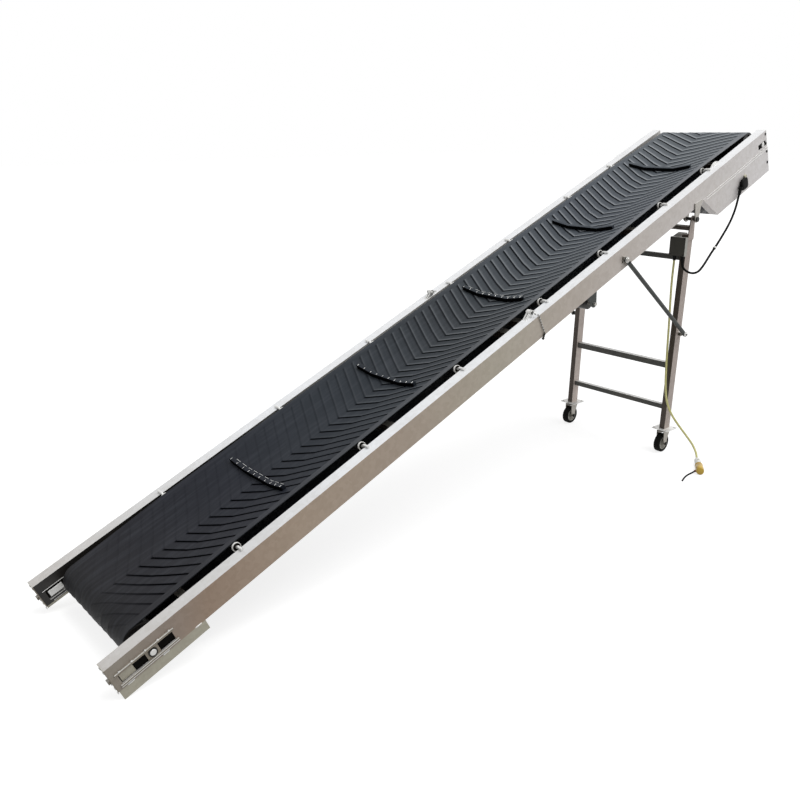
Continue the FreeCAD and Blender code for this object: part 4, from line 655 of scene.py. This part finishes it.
# the tail face and its corner carry painted shade through the groove attribute
tail_face_shade = np.array([1, 1, 0.6, 0.5, 0.5, 0.5])
stations = np.array([-179, -179, -177, -140, -85, -40, 0, 40, 85, 140, 177, 179, 179], float)
size_at = np.array([0, 0.9, 1, 1, 1, 1, 1, 1, 1, 1, 1, 0.9, 0])[:, None]
MIDDLE = 8.0                        # height that the ends close in on
du = section[:, 0] * size_at
dn = MIDDLE + (section[:, 1] - MIDDLE) * size_at
bar_faces = grid_faces(len(stations), len(section), False, True)
bars = [(on_belt(u + du, stations[:, None], dn), bar_faces) for u in cleats_at]
piece("belt_cleats", join(*bars), belt_rubber, "frame", 30.0,
      groove=np.tile(tail_face_shade, len(stations) * len(bars)))
ticks = [along(on_belt(u + np.linspace(-8.0, 0.5, 4), y, 18.1), 0.001, 6)
         for u in first_cleats[:3] for y in np.arange(-171, 172, STAPLE_STEP)]
lines = [along(on_belt(u + 9.3, y + np.linspace(0, 24, 4), 17.4), 0.0009, 6)
         for u in first_cleats[[0, 2]] for y in np.arange(-176, 150, STAPLE_STEP)]
piece("cleat_staples", join(*ticks, *lines), shaft_steel, "frame")

# %% [markdown]
# ## Rollers' ends
# Each set of troughing rollers ends beside the beam in a thin white ring round a black recess, with
# a small dark hub on the shaft. All are round, so each is a profile of radius and height, in
# metres, turned about the shaft at all seven sets at once.

# %% End rings, recesses and hubs
for side, name in SIDES:
    outward = side * math.cos(WING) * ACROSS + math.sin(WING) * OFF_SLOPE
    seats = slope(IDLERS, side * 264.0, -5.8)
    ring = turned([(0.0136, -0.004), (0.0162, -0.004), (0.0167, -0.002), (0.0167, 0.003),
                   (0.016, 0.004), (0.0145, 0.004), (0.0136, 0.0032), (0.0136, -0.004)],
                  seats, outward, 28)
    piece("roller_rings_" + name, ring, polyethylene, "frame")
    seal = turned([(0.0052, 0.0021), (0.0137, 0.0021), (0.0137, 0.0024), (0.0092, 0.0027),
                   (0.0052, 0.0027), (0.0052, 0.0021)], seats, outward, 24)
    piece("roller_seals_" + name, seal, grease_and_shade, "frame")
    hub = turned([(0.0051, 0.0025), (0.0074, 0.0025), (0.0076, 0.0034), (0.007, 0.0044),
                  (0.0051, 0.0046), (0.0051, 0.0025)], seats, outward, 20)
    piece("roller_hubs_" + name, hub, dark_bolt, "frame", 25.0)

# %% [markdown]
# ## Screws, beads, rods and plates
# A hexagon bolt head is a turned profile with six sides and a small chamfer. A weld bead is a
# rounded bar whose thickness swells and shrinks as the puddle froze. Rods, plates and soft-edged
# boxes do for the rest.

# %% Helpers for the small pieces
def hexagons(spots, axis, across_flats, height, washer=True):
    """Hexagon heads with chamfers, standing on round washers."""
    r = across_flats / math.sqrt(3)
    head = turned([(0, 0), (r, 0), (r, 0.8 * height), (0.86 * r, height), (0, height)],
                  spots, axis, 6)
    if not washer:
        return head
    ring = turned([(0, -0.0002), (1.35 * r, -0.0002), (1.35 * r, 0.0012), (1.28 * r, 0.0016),
                   (0, 0.0016)], spots, axis, 20)
    return join(head, ring)


def weld(start, end, radius, seed):
    """A bead from start to end in metres; its radius is radius * (1 + ripples)."""
    start, end = np.asarray(start, float), np.asarray(end, float)
    count = max(10, int(np.linalg.norm(end - start) / 0.0016))
    share = np.linspace(0, 1, count)
    ripple = 1 + 0.16 * np.sin(share * count * 1.9 + seed) + 0.12 * np.sin(share * 9.0 + 2 * seed)
    taper = np.clip(np.minimum(share, 1 - share) * 9, 0.35, 1)
    return along(start + share[:, None] * (end - start), radius * ripple * taper, 8)


def rod(points, radius):
    """A straight or bent round rod through points on the slope, in millimetres as (s, y, n)."""
    s, y, n = np.asarray(points, float).T
    return along(slope(s, y, n), radius, 8)


def plate(s, y, n):
    """A thin flat plate with chamfered edges, from three (low, high) pairs in millimetres."""
    (s0, s1), (y0, y1), (n0, n1) = s, y, n
    edge = min(y1 - y0, s1 - s0, n1 - n0) * 0.4
    rings = [[(s0 + e, v, n0 + e), (s1 - e, v, n0 + e), (s1 - e, v, n1 - e), (s0 + e, v, n1 - e)]
             for v, e in ((y0, edge), (y0 + edge, 0.0), (y1 - edge, 0.0), (y1, edge))]
    lids = [[((s0 + s1) / 2, v, (n0 + n1) / 2)] * 4 for v in (y0, y1)]
    points = np.array([lids[0], *rings, lids[1]], float)
    return slope(*np.moveaxis(points, -1, 0)), grid_faces(6, 4, False, True)


def cushion(centre, axes, half, power, rows=14, sides=28):
    """A box with soft edges: centre + sum of axes * half * signed powers of cosines and sines."""
    v = np.linspace(-math.pi / 2, math.pi / 2, rows)[:, None]
    u = np.linspace(0, 2 * math.pi, sides, endpoint=False)[None, :]

    def soft(values):
        return np.sign(values) * np.abs(values) ** power

    parts = (soft(np.cos(v)) * soft(np.cos(u)), soft(np.cos(v)) * soft(np.sin(u)),
             soft(np.sin(v)) + 0 * u)
    points = sum(p[..., None] * unit(axis) * h for p, axis, h in zip(parts, axes, half))
    return np.asarray(centre, float) + points, grid_faces(rows, sides, False, True)


print("helpers for the small pieces are ready")

# %% [markdown]
# ## The tail end
# The tail drum's shaft sits in blocks that slide in windows of the beams, to tighten the belt.
# Thin bright rods along the rails' edges are painted highlights, thin plates give the slides, and
# black plates behind them are painted shade in the windows. One loop with a sign makes both sides.

# %% Tail end
BEAM_FACE, RAIL_FACE = 339.2, 344.2     # just proud of the steel's outer faces
for side, name in SIDES:
    face = side * RAIL_FACE
    # bright rods along the rails' edges are painted highlights
    edge_highlights = [rod([(14, face, n), (120, face, n), (228, face, n)], 0.0009) for n in (-36, -82, -90)]
    piece("rail_edge_highlights_" + name, join(*edge_highlights), shaft_steel, "frame")
    skin = sorted((side * 333.0, side * 336.0))
    piece("slide_plate_" + name, plate((24, 74), skin, (-80, -46)), chromated_plate, "frame")
    # black plates in the window behind the slides are painted shade
    dark = plate((75, 118), skin, (-81, -45)), plate((166, 219), skin, (-81, -45))
    piece("slide_shade_" + name, join(*dark), grease_and_shade, "frame")
    face, out = side * BEAM_FACE, side * ACROSS
    shaft_end = slope(TAIL_AXIS, face, -63)
    nut = [(0.0124, -0.0015), (0.015, -0.0015), (0.0155, 0.0005), (0.0155, 0.003),
           (0.014, 0.004), (0.0124, 0.004), (0.0124, -0.0015)]
    piece("shaft_nut_" + name, turned(nut, shaft_end, out, 28), dark_bolt, "frame")
    cap = [(0, 0.0002), (0.01, 0.0002), (0.011, 0.0015), (0.011, 0.0035), (0.0095, 0.0048),
           (0, 0.0048)]
    piece("shaft_cap_" + name, turned(cap, shaft_end, out, 24), shaft_steel, "frame")
    dots = [weld(slope(s, side * 343, -35), slope(s + 7, side * 343, -35), 0.0032, s)
            for s in (28, 74, 122, 168, 210)]
    feet = [weld(slope(s, face, -99), slope(s + 26, face, -99), 0.0026, s) for s in (30, 160, 285)]
    piece("tail_welds_" + name, join(*dots, *feet), shaft_steel, "frame")
    spots = slope(-3.2, side * np.array([300.0, 328, 300, 328, 314]), [-13, -13, -88, -88, -120])
    screws = hexagons(spots, -UP_SLOPE, 0.007, 0.0026)
    piece("tail_screws_" + name, screws, shaft_steel, "frame", 25.0)
# black plates on the left beam's inner face are painted shade in its windows
inner = [plate(s, (291, 294), (-81, -45)) for s in ((24, 118), (166, 219))]
piece("left_inner_plates", join(*inner), grease_and_shade, "frame")
slide = plate((30, 84), (286.5, 288.6), (-76, -50))
# bright rods along the left rail's edges are painted highlights
strips = [rod([(low, 288.3, n), (60, 288.3, n), (100, 288.3, n)], 0.0011)
          for low, n in ((14, -40), (22, -85), (30, -96))]
piece("left_slide_block", join(slide, *strips), shaft_steel, "frame")

# %% [markdown]
# ## The head end
# The head guard is bent sheet, bolted over the beams. Light catches the folded lips where it meets
# them, so two bright rods lie there as painted highlights, and the slot for the drum's shaft shows
# black pads of painted shade and a nut.

# %% Head end
for side, name in SIDES:
    spots = slope(4026, side * np.array([339.1, 339.1, 341.5, 341.5]), [-18, -68, -112, -172])
    bolts = hexagons(spots, side * ACROSS, 0.009, 0.0035)
    piece("head_bolts_" + name, bolts, dark_bolt, "frame", 25.0)
    face = side * 341.9
    lips = [rod([(3420, face, n), (3700, face, n), (4034, face, n)], 0.0015) for n in (-89, -102)]
    piece("guard_lips_" + name, join(*lips), shaft_steel, "frame")
    skin = sorted((side * 336.0, side * 338.6))
    # black pads in the shaft's slot are painted shade
    slot_shade = plate((3952, 3982), skin, (-80, -48)), plate((4004, 4027), skin, (-80, -48))
    piece("slot_shade_" + name, join(*slot_shade), grease_and_shade, "frame")
    nut = turned([(0, -0.001), (0.0125, -0.001), (0.013, 0.001), (0.0115, 0.0035), (0, 0.0035)],
                 slope(HEAD_AXIS, side * 339.0, -RING), side * ACROSS, 6)
    piece("head_shaft_nut_" + name, nut, shaft_steel, "frame", 25.0)

# %% [markdown]
# ## Terminal box and strain reliefs
# The guard's terminal box is a rounded cover with a round grommet. A tapered sleeve with ribs keeps
# each cord from bending sharply where it enters a box: one profile serves all three.

# %% Covers and sleeves
cover = cushion(slope(3757.5, -352.2, -173), (UP_SLOPE, OFF_SLOPE, ACROSS),
                (0.03, 0.029, 0.0105), 0.5)
piece("terminal_cover", cover, gland_nylon, "frame", 50.0, ["terminal_box"])
sleeve = np.array([(0.0052, 0), (0.0075, 0), (0.0078, 0.004), (0.007, 0.006), (0.0084, 0.01),
                   (0.0074, 0.013), (0.009, 0.018), (0.008, 0.022), (0.0098, 0.03),
                   (0.0105, 0.04), (0.0052, 0.04)])
end = np.array(MOTOR_ROUTE[-1])
heading = unit(end - MOTOR_ROUTE[-2])
piece("terminal_sleeve", turned(sleeve, end - 0.008 * heading, heading, 20), gland_nylon, "frame")
grommet = turned([(0, 0), (0.013, 0), (0.014, 0.002), (0.013, 0.007), (0.009, 0.009), (0, 0.009)],
                 slope(3786, -341.3, -150), -ACROSS, 24)
piece("terminal_grommet", grommet, chromated_plate, "frame")
SHORTER = np.array([1.0, 0.6])      # the control box's sleeves are 24 mm long
sleeves = [turned(sleeve * SHORTER, np.array(start) - [0, 0, 0.014], [0, 0, 1], 20)
           for start in (MOTOR_ROUTE[0], POWER_ROUTE[0])]
piece("box_sleeves", join(*sleeves), gland_nylon, "leg_frame", stands_for=["box_glands"])
clip = turned([(0.006, -0.004), (0.0085, -0.004), (0.009, 0), (0.0085, 0.004),
               (0.006, 0.004), (0.006, -0.004)],
              (1.3901, -0.36066, 1.07322), (0.8379, 0.0568, 0.5429), 20)
piece("cable_clip", clip, polyethylene, "leg_frame")

# %% [markdown]
# ## The connector
# The supply cord ends in a round coupler that lies on the floor: a white cap that grips the cord, a
# yellow shell, a clamp screw and a boss where the short wire comes out. All are turned about the
# cord's own direction, or square to it.

# %% Connector on the floor
start, heading = np.array(POWER_ROUTE[-1]), unit([-0.821, -0.571, 0.0])
cap = [(0.0054, 0.0), (0.009, 0.0), (0.012, 0.006), (0.015, 0.018), (0.016, 0.03),
       (0.016, 0.084), (0.015, 0.09), (0, 0.09)]
piece("connector_cap", turned(cap, start, heading, 28), white_cap, "leg_frame")
shell = [(0, 0.086), (0.0165, 0.086), (0.0195, 0.088), (0.0199, 0.092), (0.0199, 0.1),
         (0.0188, 0.1015), (0.0188, 0.1035), (0.0199, 0.105), (0.0199, 0.16), (0.018, 0.168),
         (0.012, 0.1698), (0, 0.1698)]
piece("connector_shell", turned(shell, start, heading, 32), yellow_shell, "leg_frame", 40.0,
      ["cord_connector"])
screw = turned([(0, 0.015), (0.0048, 0.015), (0.0048, 0.0162), (0.0034, 0.0168), (0, 0.0168)],
               start + heading * 0.045, (-0.35, -0.25, 1.0), 16)
piece("connector_screw", screw, dark_bolt, "leg_frame")
wire_at = np.array(WIRE_ROUTE[0])
boss = turned([(0, -0.004), (0.0058, -0.004), (0.0062, 0.004), (0.0056, 0.02), (0, 0.02)],
              wire_at, start + heading * 0.15 - wire_at, 20)
piece("connector_boss", boss, red_boss, "leg_frame")

# %% [markdown]
# ## Fold hinges and the locking chain
# The beams can fold at mid length. A pin locks them, and hangs from the hinge on a chain. Each link
# is an oval ring, a round section along a closed path, turned a quarter from the one before it.
# The turned links are given dark steel as painted shade.

# %% Fold hinges' pins and the locking chain
for side, name in SIDES:
    pin = turned([(0, 0), (0.0082, 0), (0.0082, 0.0012), (0.006, 0.0022), (0, 0.0022)],
                 slope(2090, side * 316.4, 16), side * ACROSS, 24)
    piece("hinge_pin_" + name, pin, dark_bolt, "frame")
knots = np.array([(2090, -319.0, 16), (2098, -342.6, 4.2), (2108, -342.9, -92)], float)
gaps = np.linalg.norm(np.diff(knots, axis=0), axis=1)
LINK_STEP = 6.6
reach = np.arange(4.0, gaps.sum() - 2, LINK_STEP)
spread = np.concatenate([[0], np.cumsum(gaps)])
places = np.stack([np.interp(reach, spread, knots[:, k]) for k in range(3)], axis=1)
ahead_of = np.stack([np.interp(reach + 2, spread, knots[:, k]) for k in range(3)], axis=1) - places
turns = np.linspace(0, 2 * math.pi, 12, endpoint=False)
links = []
for index, (spot, way) in enumerate(zip(slope(*places.T), ahead_of)):
    way = unit(way[0] * UP_SLOPE + way[1] * ACROSS + way[2] * OFF_SLOPE)
    wide = unit(np.cross(way, ACROSS if index % 2 else UP_SLOPE))
    wide = unit(wide - way * (wide @ way))
    oval = spot + 0.0044 * np.cos(turns)[:, None] * way + 0.0023 * np.sin(turns)[:, None] * wide
    links.append(along(oval, 0.0011, 6, closed=True))
piece("lock_chain", join(*links[::2]), shaft_steel, "frame", stands_for=["lock_pin"])
# the turned links take dark steel as painted shade beside the bright ones
piece("lock_chain_turned_shade", join(*links[1::2]), dark_bolt, "frame")
foot, tip = slope(2109, -343.4, -89), slope(2087, -343.4, -109)
pin = turned([(0, 0), (0.003, 0.001), (0.004, 0.004), (0.004, 0.02), (0.0056, 0.0215),
              (0.006, 0.025), (0.0052, 0.0292), (0, 0.0295)], foot, tip - foot, 20)
piece("lock_pin_body", pin, dark_bolt, "frame")

# %% [markdown]
# ## Struts, casters and the control box
# Nuts close the struts' two pins and ride on the struts, and the axle's nuts ride on the casters'
# forks, so that they follow when a joint turns. The swivel race, the plate's bolts and the box's
# lid screws stay with the leg frame.

# %% Nuts, swivel races and lid screws
UP = [0, 0, 1]
for side, name in SIDES:
    out = side * ACROSS
    pins = np.array([(0.620399, side * 0.3572, 1.090595), (1.202, side * 0.3572, 0.648)])
    nuts = hexagons(pins, out, 0.018, 0.0064)
    piece("strut_nuts_" + name, nuts, shaft_steel, "strut_" + name, 25.0)
    stem = np.array([1.180335, side * 0.3043, 0.118])
    race = turned([(0.012, 0), (0.021, 0), (0.0225, 0.002), (0.0225, 0.0066), (0.0205, 0.0078),
                   (0.012, 0.0078), (0.012, 0)], stem, UP, 28)
    piece("caster_race_" + name, race, shaft_steel, "leg_frame")
    axle = [hexagons((1.162335, side * y, 0.05), way, 0.013, 0.006)
            for y, way in ((0.3342, out), (0.274, -out))]
    piece("axle_nuts_" + name, join(*axle), dark_bolt, "caster_" + name, 25.0)
    corners = [(x, y, 0.0122) for x in (-0.038, 0.038) for y in (-0.038, 0.038)]
    bolts = hexagons(stem + corners, UP, 0.008, 0.004)
    piece("plate_bolts_" + name, bolts, shaft_steel, "leg_frame", 25.0)
corners = [(1.1615, y, z) for y in (-0.318, -0.247) for z in (1.054, 1.133)]
screws = hexagons(corners, [-1, 0, 0], 0.006, 0.0012, False)
piece("lid_screws", screws, dark_bolt, "leg_frame", 25.0)

# %% [markdown]
# ## The floor
# A studio sweep is matt white paper. Lit by itself it would come out grey, so the camera sees it
# with a glow added, and metal sees it plain white. It still keeps a soft shadow of the machine.

# %% Floor
def floor_finish():
    """Matt white paper that the camera sees near full white, with the shadows that fall on it."""
    material = bpy.data.materials.new("white paper sweep")
    material.use_nodes = True
    tree = material.node_tree
    tree.nodes.remove(tree.nodes["Principled BSDF"])
    rays = add(tree, "LightPath")
    matt = add(tree, "BsdfDiffuse", {0: "#bcbcbc"}).outputs[0]
    faint = add(tree, "BsdfDiffuse", {0: "#aaaaaa"}).outputs[0]
    glow = add(tree, "Emission", {0: (1, 1, 1, 1), 1: 0.8}).outputs[0]
    seen = add(tree, "AddShader", {0: faint, 1: glow}).outputs[0]
    white = add(tree, "Emission", {0: (1, 1, 1, 1), 1: 1.0}).outputs[0]
    first = add(tree, "MixShader", {0: rays.outputs["Is Camera Ray"], 1: matt, 2: seen}).outputs[0]
    glossy, clear = rays.outputs["Is Glossy Ray"], rays.outputs["Is Transmission Ray"]
    mirror = add(tree, "Math", {0: glossy, 1: clear}, operation="MAXIMUM").outputs[0]
    last = add(tree, "MixShader", {0: mirror, 1: first, 2: white}).outputs[0]
    tree.links.new(last, tree.nodes["Material Output"].inputs["Surface"])
    return material


REACH = 40.0
square = [(-REACH, -REACH, 0), (REACH, -REACH, 0), (REACH, REACH, 0), (-REACH, REACH, 0)]
floor_mesh = bpy.data.meshes.new("floor")
floor_mesh.from_pydata(square, [], [(0, 1, 2, 3)])
floor_mesh.materials.append(floor_finish())
floor = bpy.data.objects.new("floor", floor_mesh)
bpy.context.collection.objects.link(floor)
print("the floor is", floor.dimensions.x, "m wide")

# %% [markdown]
# ## The light
# The world is white to the camera and to metal, and dimmer for everything it lights. One wide, soft
# lamp shines from high up, a little to the right, so that upper faces are the brightest and the
# right side is lighter than the ends.

# %% World and lamp
scene = bpy.context.scene
scene.view_settings.view_transform = "Standard"
world = bpy.data.worlds.new("studio")
scene.world = world
world.use_nodes = True
tree = world.node_tree
rays = add(tree, "LightPath")
seen = add(tree, "Math", {0: rays.outputs["Is Camera Ray"], 1: rays.outputs["Is Glossy Ray"]},
           operation="MAXIMUM").outputs[0]
seen = add(tree, "Math", {0: seen, 1: rays.outputs["Is Transmission Ray"]},
           operation="MAXIMUM").outputs[0]
strength = add(tree, "MapRange", {0: seen, 3: 0.45, 4: 1.0}).outputs[0]
tree.links.new(strength, tree.nodes["Background"].inputs["Strength"])
tree.nodes["Background"].inputs["Color"].default_value = (1.0, 1.0, 1.0, 1.0)
light = bpy.data.lights.new("overhead", "SUN")
light.angle = math.radians(40.0)
light.energy = 1.75
lamp = bpy.data.objects.new("overhead", light)
lamp.rotation_euler = Vector((0.25, -0.35, 1.0)).to_track_quat("Z", "Y").to_euler()
bpy.context.collection.objects.link(lamp)
print("the lamp's strength is", light.energy)
